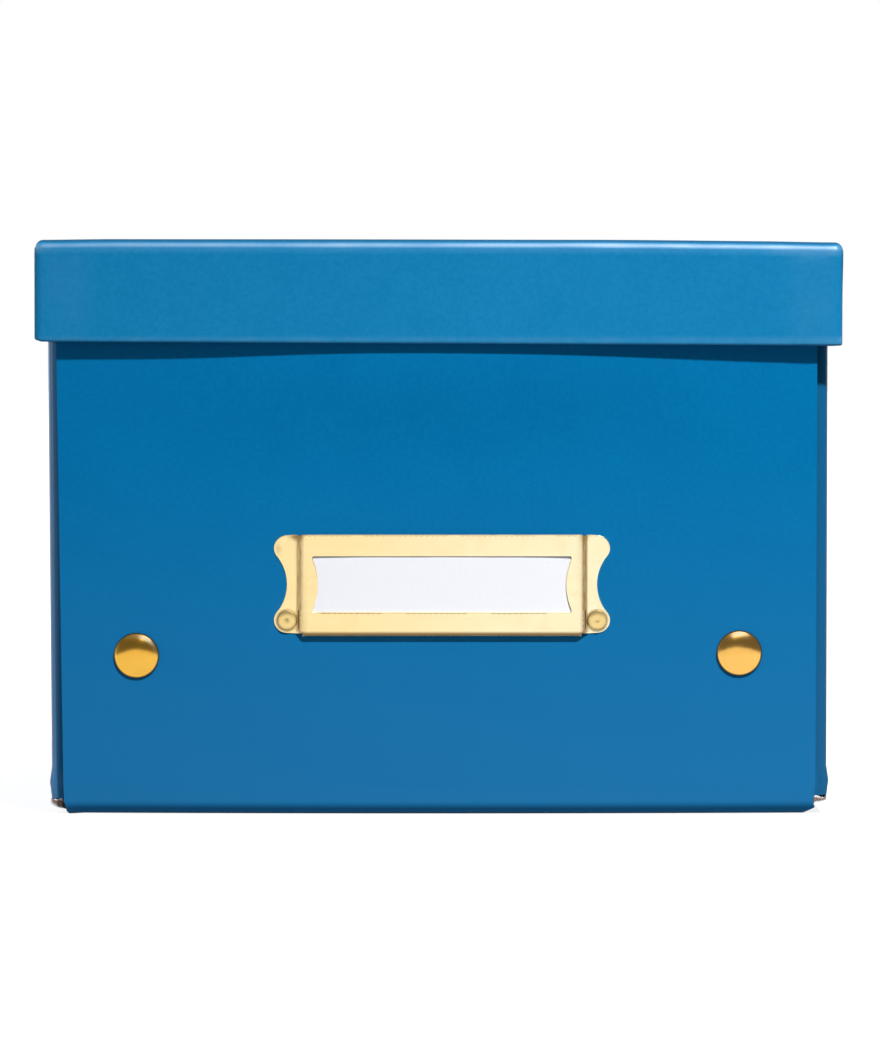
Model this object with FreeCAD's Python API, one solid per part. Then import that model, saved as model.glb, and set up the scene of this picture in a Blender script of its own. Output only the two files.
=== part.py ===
"""A flat-delivered storage box: a creased board body held by press studs, a wrapped lid and a label holder.

Millimetres. +Z is up, the front with the label looks along -Y, and the origin is on the floor under the
middle. Each function makes one kind of piece, and the last lines write one file per piece.
"""
import FreeCAD
import Part
import math
import os

from FreeCAD import Vector

# Body: one creased and laminated board
body_width = 218.0
body_length = 280.0
body_height = 158.8
board_thickness = 1.5
base_bend_radius = 2.5
flap_bend_radius = 2.6
flap_length = 46.0
flap_top_drop = 1.0
flap_base_relief = 4.4
flap_end_taper = 6.0
flap_corner_radius = 5.0
panel_inset = 2.7
panel_edge_taper = 1.1
panel_corner_radius = 2.2

# Lid: grey board with a paper cover outside and a paper lining inside
lid_play = 1.55
lid_board_thickness = 1.7
cover_thickness = 0.25
lining_thickness = 0.15
stay_thickness = 0.1
stay_leg = 14.0
skirt_height = 29.0
lid_fold_radius = 2.6
cover_turn_in = 15.0
lining_edge_gap = 3.0

# Press studs: four alike, two in front and two behind
stud_spacing = 168.4
stud_height = 44.6
cap_radius = 6.35
cap_rim_radius = 0.45
cap_dome_height = 2.3
tube_radius = 1.8
tube_wall = 0.35
tube_fit = 0.05
tube_roll = 0.5
tube_flare = 0.8
socket_radius = 5.2
socket_height = 2.9
socket_sheet = 0.35
socket_throat_radius = 2.8
socket_throat_depth = 0.4
spring_wire_radius = 0.3
spring_gap_angle = 24.0
stud_base_radius = 5.0
stud_base_thickness = 0.9
stud_neck_radius = 2.35
stud_head_radius = 2.6
stud_nipple_height = 1.6
spring_neck_fit = 0.1
spring_seat_gap = 0.05
post_flange_radius = 4.8
post_flange_height = 0.6

# Label holder: stamped brass, riveted to the front wall
holder_offset = 1.0
holder_middle_height = 64.4
holder_span = 94.2
holder_height = 27.6
holder_sheet = 0.45
holder_bend_radius = 0.35
lobe_radius = 3.75
waist_depth = 3.75
frame_width = 78.0
joggle_run = 1.7
card_pocket = 1.1
lip_bend_radius = 1.2
lip_wall_gap = 0.05
window_width = 72.7
window_height = 15.2
window_drop = 0.5
window_end_bulge = 1.6
window_corner_radius = 0.5
notch_width = 1.8
notch_depth = 1.7
slit_width = 1.2
slit_length = 5.8

# Label card
card_thickness = 0.4
card_side_gap = 0.6
card_seat_gap = 0.035
card_top_drop = 0.6
card_corner_radius = 1.0

# Label rivets and the washers behind the wall
rivet_head_radius = 2.75
rivet_head_height = 0.9
rivet_rim_height = 0.45
rivet_shank_radius = 1.5
rivet_bore_radius = 1.0
rivet_hole_fit = 0.05
rivet_clench_radius = 2.5
rivet_clench_height = 0.7
washer_radius = 3.4
washer_thickness = 0.5

# Sizes that follow from those above
cover_reach = cover_thickness + stay_thickness
lid_wall = lining_thickness + cover_thickness + lid_board_thickness + cover_reach
lid_width = body_width + 2 * (lid_play + lid_wall)
lid_length = body_length + 2 * (lid_play + lid_wall)
lid_top = body_height + lining_thickness + lid_board_thickness + cover_thickness
lid_bottom = lid_top - skirt_height
stud_gap = socket_height + stud_base_thickness
flap_face = body_length / 2 - board_thickness - stud_gap
side_end = flap_face - flap_bend_radius
lid_inner_face = cover_reach + lid_board_thickness
lid_roof = lid_top - cover_thickness - lid_board_thickness
turn_in_top = lid_bottom + cover_turn_in
tube_bore = tube_radius - tube_wall
tube_hole = tube_radius + tube_fit
lobe_centre_x = holder_span / 2 - lobe_radius
lobe_centre_z = holder_height / 2 - lobe_radius
rivet_height = holder_middle_height - lobe_centre_z

# Directions, how far a drill starts outside, and when two numbers count as alike
RIGHT = Vector(1, 0, 0)
BACK = Vector(0, 1, 0)
UP = Vector(0, 0, 1)
ORIGIN = Vector(0, 0, 0)
DRILL_RUN_OUT = 1.0
SAME_LENGTH = 1e-6
SAME_DIRECTION = 0.99


def outline(corners, place):
    """A closed wire through (a, b, radius) corners, rounded where the radius is not 0.

    place turns a flat point into its place in space.
    """
    edges = []
    ends = []
    count = len(corners)
    for i in range(count):
        a, b, radius = corners[i]
        here = Vector(a, b, 0)
        before = Vector(*corners[i - 1][:2], 0) - here
        after = Vector(*corners[(i + 1) % count][:2], 0) - here
        if radius == 0:
            ends.append((here, here, None))
            continue
        half_angle = before.getAngle(after) / 2
        reach = radius / math.tan(half_angle)
        before.normalize()
        after.normalize()
        bisector = (before + after).normalize()
        middle = here + bisector * (radius / math.sin(half_angle) - radius)
        ends.append((here + before * reach, here + after * reach, middle))
    for i in range(count):
        start, end, middle = ends[i]
        if middle is not None:
            arc = Part.Arc(place(start), place(middle), place(end))
            edges.append(arc.toShape())
        following = ends[(i + 1) % count][0]
        if end.distanceToPoint(following) > SAME_LENGTH:
            edges.append(Part.LineSegment(place(end), place(following)).toShape())
    return Part.Wire(edges)


def prism_y(corners, start, end):
    """Extrudes an outline given as (x, z, radius) from y = start to y = end."""
    wire = outline(corners, lambda p: Vector(p.x, start, p.y))
    return Part.Face(wire).extrude(BACK * (end - start))


def prism_x(corners, start, end):
    """Extrudes an outline given as (y, z, radius) from x = start to x = end."""
    wire = outline(corners, lambda p: Vector(start, p.x, p.y))
    return Part.Face(wire).extrude(RIGHT * (end - start))


def prism_z(corners, start, end):
    """Extrudes an outline given as (x, y, radius) from z = start to z = end."""
    wire = outline(corners, lambda p: Vector(p.x, p.y, start))
    return Part.Face(wire).extrude(UP * (end - start))


def bevelled(corners):
    """The same outline with each corner cut off straight by its third value."""
    points = []
    count = len(corners)
    for i, (a, b, cut) in enumerate(corners):
        if cut == 0:
            points.append((a, b, 0))
            continue
        for c, d, _ in (corners[i - 1], corners[(i + 1) % count]):
            step = Vector(c - a, d - b, 0).normalize() * cut
            points.append((a + step.x, b + step.y, 0))
    return points


def turned(corners, angle=360):
    """Turns an outline given as (radius, height, bevel) about the Z axis."""
    wire = outline(bevelled(corners), lambda p: Vector(p.x, 0, p.y))
    return Part.Face(wire).revolve(ORIGIN, UP, angle)


def on_front(shape, x, height):
    """Stands a piece made along +Z on the front wall's outer face, pointing out of the box."""
    placed = shape.copy()
    placed.rotate(ORIGIN, RIGHT, 90)
    placed.translate(Vector(x, -body_length / 2, height))
    return placed


def on_back(shape):
    """The same piece behind, half a turn round."""
    turned_round = shape.copy()
    turned_round.rotate(ORIGIN, UP, 180)
    return turned_round


def mirrored_x(shape):
    return shape.mirror(ORIGIN, RIGHT)


def group(shapes):
    """Separate solids that share one node."""
    return Part.makeCompound([solid for shape in shapes for solid in shape.Solids])


def channel_profile(width, height):
    """Half-open U of board: (across, height, rounding) corners of its section, with bent lower corners."""
    half = width / 2
    inner = half - board_thickness
    inner_bend = base_bend_radius - board_thickness
    return [
        (-half, height, 0),
        (-half, 0, base_bend_radius),
        (half, 0, base_bend_radius),
        (half, height, 0),
        (inner, height, 0),
        (inner, board_thickness, inner_bend),
        (-inner, board_thickness, inner_bend),
        (-inner, height, 0),
    ]


def panel_outline():
    """Front wall seen from the front: its sides lean in a little towards a rounded foot."""
    top = body_width / 2 - panel_inset
    foot = top - panel_edge_taper
    return [
        (-foot, 0, panel_corner_radius),
        (foot, 0, panel_corner_radius),
        (top, body_height, 0),
        (-top, body_height, 0),
    ]


def corner_flap():
    """Front left flap: the side wall's fold and the tongue that lies behind the front wall."""
    half = body_width / 2
    bend = flap_bend_radius
    fold = prism_z(
        [
            (-half, -side_end, 0),
            (-half, -flap_face, bend),
            (-half + bend, -flap_face, 0),
            (-half + bend, -flap_face + board_thickness, 0),
            (-half + board_thickness, -flap_face + board_thickness, bend - board_thickness),
            (-half + board_thickness, -side_end, 0),
        ],
        flap_base_relief,
        body_height - flap_top_drop,
    )
    low = flap_base_relief
    high = body_height - flap_top_drop
    free_end = -half + flap_length
    tongue = prism_y(
        [
            (-half + bend, low, 0),
            (free_end, low + flap_end_taper, flap_corner_radius),
            (free_end, high - flap_end_taper, flap_corner_radius),
            (-half + bend, high, 0),
        ],
        -flap_face,
        -flap_face + board_thickness,
    )
    return fold.fuse(tongue)


def stud_places():
    """Middle of each front stud, left then right."""
    return [(side * stud_spacing / 2, stud_height) for side in (-1, 1)]


def rivet_places():
    """Middle of each label rivet, left then right."""
    return [(holder_offset + side * lobe_centre_x, rivet_height) for side in (-1, 1)]


def front_holes(places, radius, depth):
    """Drills that start outside the front wall and end at a depth behind its outer face."""
    drill = Part.makeCylinder(radius, depth + DRILL_RUN_OUT, Vector(0, 0, -depth))
    return [on_front(drill, x, height) for x, height in places]


def body_blank():
    """Base, four walls and four flaps, all one board, with the holes for the studs and the rivets."""
    sides = prism_y(channel_profile(body_width, body_height), -side_end, side_end)
    half_width = body_width / 2
    ends = prism_x(channel_profile(body_length, body_height), -half_width, half_width)
    ends = ends.common(prism_y(panel_outline(), -body_length, body_length))
    flap = corner_flap()
    flaps = [flap, mirrored_x(flap), on_back(flap), on_back(mirrored_x(flap))]
    blank = sides.fuse([ends] + flaps)
    stud_holes = front_holes(stud_places(), tube_hole, body_length / 2 - flap_face + 2 * board_thickness)
    rivet_holes = front_holes(rivet_places(), rivet_shank_radius + rivet_hole_fit, 2 * board_thickness)
    blank = blank.cut(stud_holes + [on_back(hole) for hole in stud_holes] + rivet_holes)
    return blank.removeSplitter()


def domed(points, radius, height, low):
    """Turns an outline from the axis to the foot of a dome, and closes it with the dome's arc."""
    ball = (radius ** 2 + height ** 2) / (2 * height)
    half_angle = math.asin(radius / ball) / 2
    centre = low + height - ball
    middle = Vector(ball * math.sin(half_angle), 0, centre + ball * math.cos(half_angle))
    top = Vector(0, 0, low + height)
    edges = [Part.Arc(points[-1], middle, top).toShape()]
    edges.append(Part.LineSegment(top, points[0]).toShape())
    for start, end in zip(points, points[1:]):
        edges.append(Part.LineSegment(start, end).toShape())
    wire = Part.Wire(Part.__sortEdges__(edges))
    return Part.Face(wire).revolve(ORIGIN, UP, 360)


def stud_cap():
    """Domed cap outside the wall; its hollow tube goes through the wall and is rolled over in the socket."""
    floor = -board_thickness - socket_sheet
    flare = tube_radius + tube_flare
    shoulder = cap_radius - cap_rim_radius
    rim_height = 2 * cap_rim_radius
    profile = [
        (0, cap_rim_radius),
        (tube_bore, cap_rim_radius),
        (tube_bore, floor - tube_roll),
        (flare - tube_wall / 2, floor - tube_roll),
        (flare, floor),
        (tube_radius, floor),
        (tube_radius, 0),
        (shoulder, 0),
        (cap_radius, cap_rim_radius),
        (shoulder, rim_height),
    ]
    points = [Vector(across, 0, height) for across, height in profile]
    return domed(points, shoulder, cap_dome_height - rim_height, rim_height)


def stud_socket():
    """Drawn cup against the inside of the wall, with a turned-in throat that keeps the ring spring."""
    back = -board_thickness
    mouth = back - socket_height
    sheet = socket_sheet
    lip = mouth + socket_throat_depth
    return turned([
        (tube_hole, back, 0),
        (socket_radius, back, 0),
        (socket_radius, mouth, sheet),
        (socket_throat_radius, mouth, 0),
        (socket_throat_radius, lip, 0),
        (socket_throat_radius + sheet, lip, 0),
        (socket_throat_radius + sheet, mouth + sheet, 0),
        (socket_radius - sheet, mouth + sheet, 0),
        (socket_radius - sheet, back - sheet, 0),
        (tube_hole, back - sheet, 0),
    ])


def ring_spring():
    """Split wire ring on the throat's lip, which grips the stud's neck; its wire is drawn four-sided."""
    mouth = -board_thickness - socket_height
    ring_radius = stud_neck_radius + spring_neck_fit + spring_wire_radius
    height = mouth + socket_throat_depth + spring_seat_gap + spring_wire_radius
    section = [
        (ring_radius - spring_wire_radius, height, 0),
        (ring_radius, height - spring_wire_radius, 0),
        (ring_radius + spring_wire_radius, height, 0),
        (ring_radius, height + spring_wire_radius, 0),
    ]
    return turned(section, 360 - spring_gap_angle)


def male_stud():
    """Rolled base against the flap and the headed nipple that snaps through the ring spring."""
    seat = -board_thickness - stud_gap
    top = seat + stud_base_thickness
    crown = top + stud_nipple_height
    step = stud_head_radius - stud_neck_radius
    neck_top = top + socket_throat_depth + 2 * (spring_seat_gap + spring_wire_radius)
    return turned([
        (tube_hole, seat, 0),
        (stud_base_radius, seat, 0),
        (stud_base_radius, top, stud_base_thickness / 3),
        (stud_neck_radius, top, 0),
        (stud_neck_radius, neck_top - step / 2, 0),
        (stud_head_radius, neck_top + step / 2, 0),
        (stud_neck_radius, crown, 0),
        (tube_hole, crown, 0),
    ])


def stud_post():
    """Eyelet from inside the box: flange, tube through flap and stud, and an end rolled over the head."""
    flange_top = -board_thickness - stud_gap - board_thickness
    flange_low = flange_top - post_flange_height
    nipple = -board_thickness - stud_gap + stud_base_thickness + stud_nipple_height
    rolled = nipple + tube_wall
    return turned([
        (tube_bore, flange_low, 0),
        (post_flange_radius, flange_low, post_flange_height / 2),
        (post_flange_radius, flange_top, 0),
        (tube_radius, flange_top, 0),
        (tube_radius, nipple, 0),
        (tube_radius + tube_wall, nipple, 0),
        (tube_radius + tube_wall, rolled, 0),
        (tube_bore, rolled, 0),
    ])


def holder_section():
    """Bent strip seen from above, as (x, out of the wall, rounding): wing, joggle, frame, joggle, wing."""
    sheet = holder_sheet
    inner_bend = holder_bend_radius
    outer_bend = holder_bend_radius + sheet
    shift = sheet * math.tan(math.atan2(card_pocket, joggle_run) / 2)
    raised = frame_width / 2
    foot = raised + joggle_run
    tip = holder_span / 2
    right_outer = [
        (raised, card_pocket + sheet, outer_bend),
        (foot, sheet, inner_bend),
        (tip, sheet, 0),
    ]
    right_inner = [
        (tip, 0, 0),
        (foot - shift, 0, outer_bend),
        (raised - shift, card_pocket, inner_bend),
    ]
    left_inner = [(-x, out, bend) for x, out, bend in reversed(right_inner)]
    left_outer = [(-x, out, bend) for x, out, bend in reversed(right_outer)]
    return right_outer + right_inner + left_inner + left_outer


def wing_outline():
    """Edges of the holder seen from the front: two round lobes with a waist between them at each end."""
    half_height = holder_height / 2
    rise = lobe_radius - waist_depth
    waist_radius = (rise ** 2 + lobe_centre_z ** 2 - lobe_radius ** 2) / (2 * (lobe_radius - rise))
    waist_edge = lobe_centre_x + rise
    to_waist = Vector(waist_edge + waist_radius - lobe_centre_x, 0, -lobe_centre_z).normalize()
    end_angle = math.atan2(to_waist.z, to_waist.x)
    middle_angle = (math.pi / 2 + end_angle) / 2
    lobe = Vector(lobe_centre_x, 0, lobe_centre_z)
    crest = Vector(lobe_centre_x, 0, half_height)
    crest_middle = lobe + Vector(math.cos(middle_angle), 0, math.sin(middle_angle)) * lobe_radius
    leave = lobe + to_waist * lobe_radius

    def flipped(point, x_sign, z_sign):
        return Vector(point.x * x_sign, 0, point.z * z_sign)

    edges = []
    for side in (1, -1):
        for level in (1, -1):
            arc = [flipped(point, side, level) for point in (crest, crest_middle, leave)]
            edges.append(Part.Arc(*arc).toShape())
        waist = [flipped(leave, side, 1), Vector(side * waist_edge, 0, 0), flipped(leave, side, -1)]
        edges.append(Part.Arc(*waist).toShape())
    for level in (1, -1):
        edges.append(Part.LineSegment(flipped(crest, -1, level), flipped(crest, 1, level)).toShape())
    return Part.Wire(Part.__sortEdges__(edges))


def window_cutter(depth):
    """The window seen from the front: a long slot whose ends bulge inwards."""
    half_width = window_width / 2
    high = window_height / 2 - window_drop
    low = -window_height / 2 - window_drop
    edges = []
    for side in (1, -1):
        top = Vector(side * half_width, 0, high)
        middle = Vector(side * (half_width - window_end_bulge), 0, -window_drop)
        foot = Vector(side * half_width, 0, low)
        edges.append(Part.Arc(top, middle, foot).toShape())
    for level in (high, low):
        start = Vector(-half_width, 0, level)
        edges.append(Part.LineSegment(start, Vector(half_width, 0, level)).toShape())
    face = Part.Face(Part.Wire(Part.__sortEdges__(edges)))
    cutter = face.extrude(BACK * -depth)
    upright = [edge for edge in cutter.Edges if abs(edge.tangentAt(edge.FirstParameter).y) > SAME_DIRECTION]
    return cutter.makeFillet(window_corner_radius, upright)


def holder_lip():
    """Lower edge of the frame, folded back to the wall so that the card stands on it."""
    reach = card_pocket + holder_sheet
    fold_top = -holder_height / 2
    low = fold_top - lip_bend_radius
    high = low + holder_sheet
    return prism_x(
        [
            (-reach, fold_top, 0),
            (-reach, low, lip_bend_radius),
            (-lip_wall_gap, low, 0),
            (-lip_wall_gap, high, 0),
            (-reach + holder_sheet, high, lip_bend_radius - holder_sheet),
            (-reach + holder_sheet, fold_top, 0),
        ],
        -frame_width / 2,
        frame_width / 2,
    )


def joggle_cuts(side, depth):
    """Relief notch above the joggle, slit beside the rivet's head and the rivet's hole, on one side."""
    top = holder_height / 2
    middle = side * (frame_width + joggle_run) / 2
    notch = prism_y(
        [
            (middle - notch_width / 2, top, 0),
            (middle, top - notch_depth, 0),
            (middle + notch_width / 2, top, 0),
        ],
        -depth,
        depth,
    )
    foot = frame_width / 2 + joggle_run
    outer = side * (foot + holder_bend_radius)
    inner = side * (foot - slit_width)
    low = -lobe_centre_z - slit_length / 2
    high = -lobe_centre_z + slit_length / 2
    round_end = slit_width / 3
    slit = prism_y(
        [(outer, low, 0), (inner, low, round_end), (inner, high, round_end), (outer, high, 0)], -depth, depth
    )
    hole = Part.makeCylinder(rivet_shank_radius + rivet_hole_fit, 2 * depth, Vector(0, 0, -depth))
    hole.rotate(ORIGIN, RIGHT, 90)
    hole.translate(Vector(side * lobe_centre_x, 0, -lobe_centre_z))
    return [notch, slit, hole]


def label_holder():
    """Stamped frame with a window, a folded lip that carries the card, and two wings on the wall."""
    half_height = holder_height / 2
    through = 2 * (card_pocket + holder_sheet)
    section = [(x, -out, bend) for x, out, bend in holder_section()]
    strip = prism_z(section, -half_height, half_height)
    plate = strip.common(Part.Face(wing_outline()).extrude(BACK * -through))
    cuts = [window_cutter(through)] + joggle_cuts(-1, through) + joggle_cuts(1, through)
    holder = plate.fuse(holder_lip()).cut(cuts).removeSplitter()
    holder.translate(Vector(holder_offset, -body_length / 2, holder_middle_height))
    return holder


def label_card():
    """Plain card that drops into the holder from above and stands on its lip."""
    half_width = frame_width / 2 - card_side_gap
    front_gap = (card_pocket - card_thickness) / 2
    # The card's front edge meets the lip's inner bend, so it stands a little above the lip's floor
    inner_bend = lip_bend_radius - holder_sheet
    lean = max(inner_bend - front_gap, 0)
    bend_rise = inner_bend - math.sqrt(inner_bend**2 - lean**2)
    lip_floor = holder_middle_height - holder_height / 2 - inner_bend
    low = lip_floor + bend_rise + card_seat_gap
    high = holder_middle_height + holder_height / 2 - card_top_drop
    near = -body_length / 2 - front_gap - card_thickness
    return prism_y(
        [
            (holder_offset - half_width, low, 0),
            (holder_offset + half_width, low, 0),
            (holder_offset + half_width, high, card_corner_radius),
            (holder_offset - half_width, high, card_corner_radius),
        ],
        near,
        near + card_thickness,
    )


def label_rivet():
    """Flat-domed head on the wing; the hollow end is rolled over the washer inside the wall."""
    seat = holder_sheet
    washer_back = -board_thickness - washer_thickness
    tail = washer_back - rivet_clench_height
    bore_end = -board_thickness / 2
    rim_top = seat + rivet_rim_height
    profile = [
        (0, bore_end),
        (rivet_bore_radius, bore_end),
        (rivet_bore_radius, tail),
        ((rivet_clench_radius + rivet_bore_radius) / 2, tail),
        (rivet_clench_radius, washer_back),
        (rivet_shank_radius, washer_back),
        (rivet_shank_radius, seat),
        (rivet_head_radius, seat),
        (rivet_head_radius, rim_top),
    ]
    points = [Vector(across, 0, height) for across, height in profile]
    return domed(points, rivet_head_radius, rivet_head_height - rivet_rim_height, rim_top)


def rivet_washer():
    """Flat washer between the wall's inner face and the rolled end."""
    back = -board_thickness
    hole = rivet_shank_radius + rivet_hole_fit
    return turned([
        (hole, back - washer_thickness, 0),
        (washer_radius, back - washer_thickness, 0),
        (washer_radius, back, 0),
        (hole, back, 0),
    ])


def lid_block(inset, low, high):
    """A block with the lid's footprint less an inset on every side, between two heights."""
    width = lid_width - 2 * inset
    length = lid_length - 2 * inset
    return Part.makeBox(width, length, high - low, Vector(-width / 2, -length / 2, low))


def rounded_lid_block(inset, low, high, radius):
    """The same block with its upright and upper edges rounded."""
    shape = lid_block(inset, low, high)
    rounded = []
    for edge in shape.Edges:
        upright = abs(edge.tangentAt(edge.FirstParameter).z) > SAME_DIRECTION
        if upright or abs(edge.CenterOfMass.z - high) < SAME_LENGTH:
            rounded.append(edge)
    return shape.makeFillet(radius, rounded)


def lid_board():
    """Top and four skirts of grey board, closed at the corners."""
    low = lid_bottom + cover_thickness
    high = lid_top - cover_thickness
    outside = rounded_lid_block(cover_reach, low, high, lid_fold_radius - cover_thickness)
    return outside.cut(lid_block(lid_inner_face, lid_bottom, lid_roof))


def corner_zones():
    """Four upright blocks at the lid's corners, as wide as the legs of the stays."""
    near = Vector(lid_width / 2 - stay_leg, lid_length / 2 - stay_leg, lid_bottom)
    right_back = Part.makeBox(stay_leg, stay_leg, skirt_height, near)
    left_front = on_back(right_back)
    return [right_back, left_front, mirrored_x(right_back), mirrored_x(left_front)]


def stay_block(thickness, low):
    """Prism round the lid's board, set out from it by a thickness, up to where the top's fold begins."""
    inset = cover_reach - thickness
    half_x = lid_width / 2 - inset
    half_y = lid_length / 2 - inset
    radius = lid_fold_radius - cover_thickness + thickness
    corners = [(x * half_x, y * half_y, radius) for x, y in ((-1, -1), (1, -1), (1, 1), (-1, 1))]
    return prism_z(corners, low, lid_top - lid_fold_radius)


def lid_corner_stays():
    """Gummed paper strips round the four corners of the board, under the cover."""
    low = lid_bottom + cover_thickness
    ring = stay_block(stay_thickness, low).cut(stay_block(0, low))
    return group([ring.common(zone) for zone in corner_zones()])


def lid_cover():
    """Coloured paper over the board and its stays, wrapped round the lower edge and turned up inside."""
    skin = rounded_lid_block(stay_thickness, lid_bottom, lid_top, lid_fold_radius)
    over_stays = stay_block(cover_reach, lid_bottom)
    outside = skin.fuse([over_stays.common(zone) for zone in corner_zones()])
    low_room = lid_block(lid_inner_face + cover_thickness, lid_bottom, turn_in_top)
    high_room = lid_block(lid_inner_face, turn_in_top, lid_roof)
    cover = outside.cut([lid_board(), low_room, high_room] + lid_corner_stays().Solids)
    return cover.removeSplitter()


def lid_lining():
    """White paper inside: the roof and the skirts, lapped over the cover's turn-in."""
    foot = lid_bottom + lining_edge_gap
    step = turn_in_top + lining_thickness
    upper = lid_block(lid_inner_face, turn_in_top, lid_roof)
    lower = lid_block(lid_inner_face + cover_thickness, foot, turn_in_top)
    upper_room = lid_block(lid_inner_face + lining_thickness, step, lid_roof - lining_thickness)
    lower_room = lid_block(lid_inner_face + cover_thickness + lining_thickness, foot, step)
    return upper.fuse(lower).cut([upper_room, lower_room]).removeSplitter()


def four_studs(piece):
    """A front pair and a back pair of one stud piece."""
    front = group([on_front(piece, x, height) for x, height in stud_places()])
    return front, on_back(front)


def build():
    nodes = {"body_blank": body_blank()}
    stud_pieces = {
        "stud_caps": stud_cap(),
        "stud_sockets": stud_socket(),
        "stud_ring_springs": ring_spring(),
        "male_studs": male_stud(),
        "stud_posts": stud_post(),
    }
    for name, piece in stud_pieces.items():
        front, back = four_studs(piece)
        nodes["front_" + name] = front
        nodes["back_" + name] = back
    nodes["label_holder"] = label_holder()
    nodes["label_card"] = label_card()
    for name, piece in (("label_rivets", label_rivet()), ("label_rivet_washers", rivet_washer())):
        nodes[name] = group([on_front(piece, x, height) for x, height in rivet_places()])
    nodes["lid_board"] = lid_board()
    nodes["lid_corner_stays"] = lid_corner_stays()
    nodes["lid_cover"] = lid_cover()
    nodes["lid_lining"] = lid_lining()
    return nodes


os.makedirs("parts", exist_ok=True)
for name, shape in build().items():
    shape.exportStep(os.path.join("parts", name + ".step"))
    box = shape.BoundBox
    size = f"{box.XLength:.2f} x {box.YLength:.2f} x {box.ZLength:.2f} mm"
    print(f"{name}: {len(shape.Solids)} solids, {size}, {shape.Volume:.1f} mm3, valid {shape.isValid()}")
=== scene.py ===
# %% [markdown]
# # A blue board storage box
#
# The box is delivered flat. Its owner folds one creased board into a tray, closes four brass press studs at
# the corners and puts a paper-covered lid on. A stamped brass holder on the front carries a plain card.
# This lesson builds the look of that box around a fixed frame of solids, in the same metres and the same place.

# %% The frame
import math

import bpy
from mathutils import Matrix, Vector, geometry, noise


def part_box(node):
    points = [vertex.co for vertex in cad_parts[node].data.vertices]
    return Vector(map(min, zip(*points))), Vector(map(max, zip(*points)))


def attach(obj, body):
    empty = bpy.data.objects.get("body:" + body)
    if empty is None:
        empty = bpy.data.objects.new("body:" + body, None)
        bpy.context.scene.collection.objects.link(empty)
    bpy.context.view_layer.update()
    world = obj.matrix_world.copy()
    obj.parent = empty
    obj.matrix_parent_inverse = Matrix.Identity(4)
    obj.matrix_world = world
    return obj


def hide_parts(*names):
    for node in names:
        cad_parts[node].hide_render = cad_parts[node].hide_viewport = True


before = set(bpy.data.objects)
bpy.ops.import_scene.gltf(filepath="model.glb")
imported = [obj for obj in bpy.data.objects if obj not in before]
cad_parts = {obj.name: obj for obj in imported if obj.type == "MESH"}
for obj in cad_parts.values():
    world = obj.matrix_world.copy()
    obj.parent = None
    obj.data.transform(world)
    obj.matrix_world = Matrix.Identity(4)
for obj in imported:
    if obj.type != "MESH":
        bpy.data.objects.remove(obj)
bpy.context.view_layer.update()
MM = 0.001

# %% [markdown]
# ## The view
#
# The photograph looks straight at the front, from far away: no side shows and the upright edges stay upright.
# A long lens two metres off gives that. The lens length follows from how many millimetres the picture spans,
# which is simpler to reason about than an angle. Nothing shows of the underside of the lid's skirts, so the eye
# is at the height of their edge and looks down by about a degree.

# %% Camera
PICTURE_WIDTH, PICTURE_HEIGHT = 880, 1056
MM_PER_PIXEL = 0.2792
FLOOR_LINE = 814.7
BOX_MIDDLE_COLUMN = 438.4
CAMERA_DISTANCE = 2.0
EYE_HEIGHT = 0.126
SENSOR = 36.0

front_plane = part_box("body_blank")[0].y
picture_span = PICTURE_HEIGHT * MM_PER_PIXEL * MM
eye = Vector((
    (PICTURE_WIDTH / 2 - BOX_MIDDLE_COLUMN) * MM_PER_PIXEL * MM,
    front_plane - CAMERA_DISTANCE,
    EYE_HEIGHT,
))
middle_height = (FLOOR_LINE - PICTURE_HEIGHT / 2) * MM_PER_PIXEL * MM
looks_down = math.atan2(EYE_HEIGHT - middle_height, CAMERA_DISTANCE)
lens_data = bpy.data.cameras.new("view_from_the_front")
lens_data.sensor_width = SENSOR
lens_data.lens = SENSOR * CAMERA_DISTANCE / picture_span
camera = bpy.data.objects.new("view_from_the_front", lens_data)
camera.location = eye
camera.rotation_euler = (math.radians(90) - looks_down, 0, 0)
bpy.context.scene.collection.objects.link(camera)
bpy.context.scene.camera = camera
bpy.context.scene.view_settings.view_transform = "Standard"
print("lens in mm:", round(lens_data.lens, 1), "looks down by degrees:", round(math.degrees(looks_down), 2))

# %% [markdown]
# ## Writing shader maths as plain expressions
#
# A shader tree is hard to read as a list of nodes and links. A small class wraps one output socket and knows
# the arithmetic signs, so that `1 - mask * 0.2` adds the Math nodes by itself. A second class adds any other
# node from its type, its settings and its inputs.

# %% Sockets that can be added and multiplied
class Wire:
    """One output socket, which can be used in sums."""

    def __init__(self, paint, socket):
        self.paint = paint
        self.socket = socket

    def maths(self, operation, *values):
        return self.paint.node("ShaderNodeMath", {"operation": operation}, values)

    def __add__(self, other):
        return self.maths("ADD", self, other)

    __radd__ = __add__

    def __sub__(self, other):
        return self.maths("SUBTRACT", self, other)

    def __rsub__(self, other):
        return self.maths("SUBTRACT", other, self)

    def __mul__(self, other):
        return self.maths("MULTIPLY", self, other)

    __rmul__ = __mul__

    def __pow__(self, other):
        return self.maths("POWER", self, other)

    def __abs__(self):
        return self.maths("ABSOLUTE", self)

    def least(self, other):
        return self.maths("MINIMUM", self, other)

    def most(self, other):
        return self.maths("MAXIMUM", self, other)

    def between(self, low, high):
        """0 below low, 1 above high, and a smooth step between them."""
        inputs = {"Value": self, "From Min": low, "From Max": high}
        return self.paint.node("ShaderNodeMapRange", {"interpolation_type": "SMOOTHSTEP"}, inputs)


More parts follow.
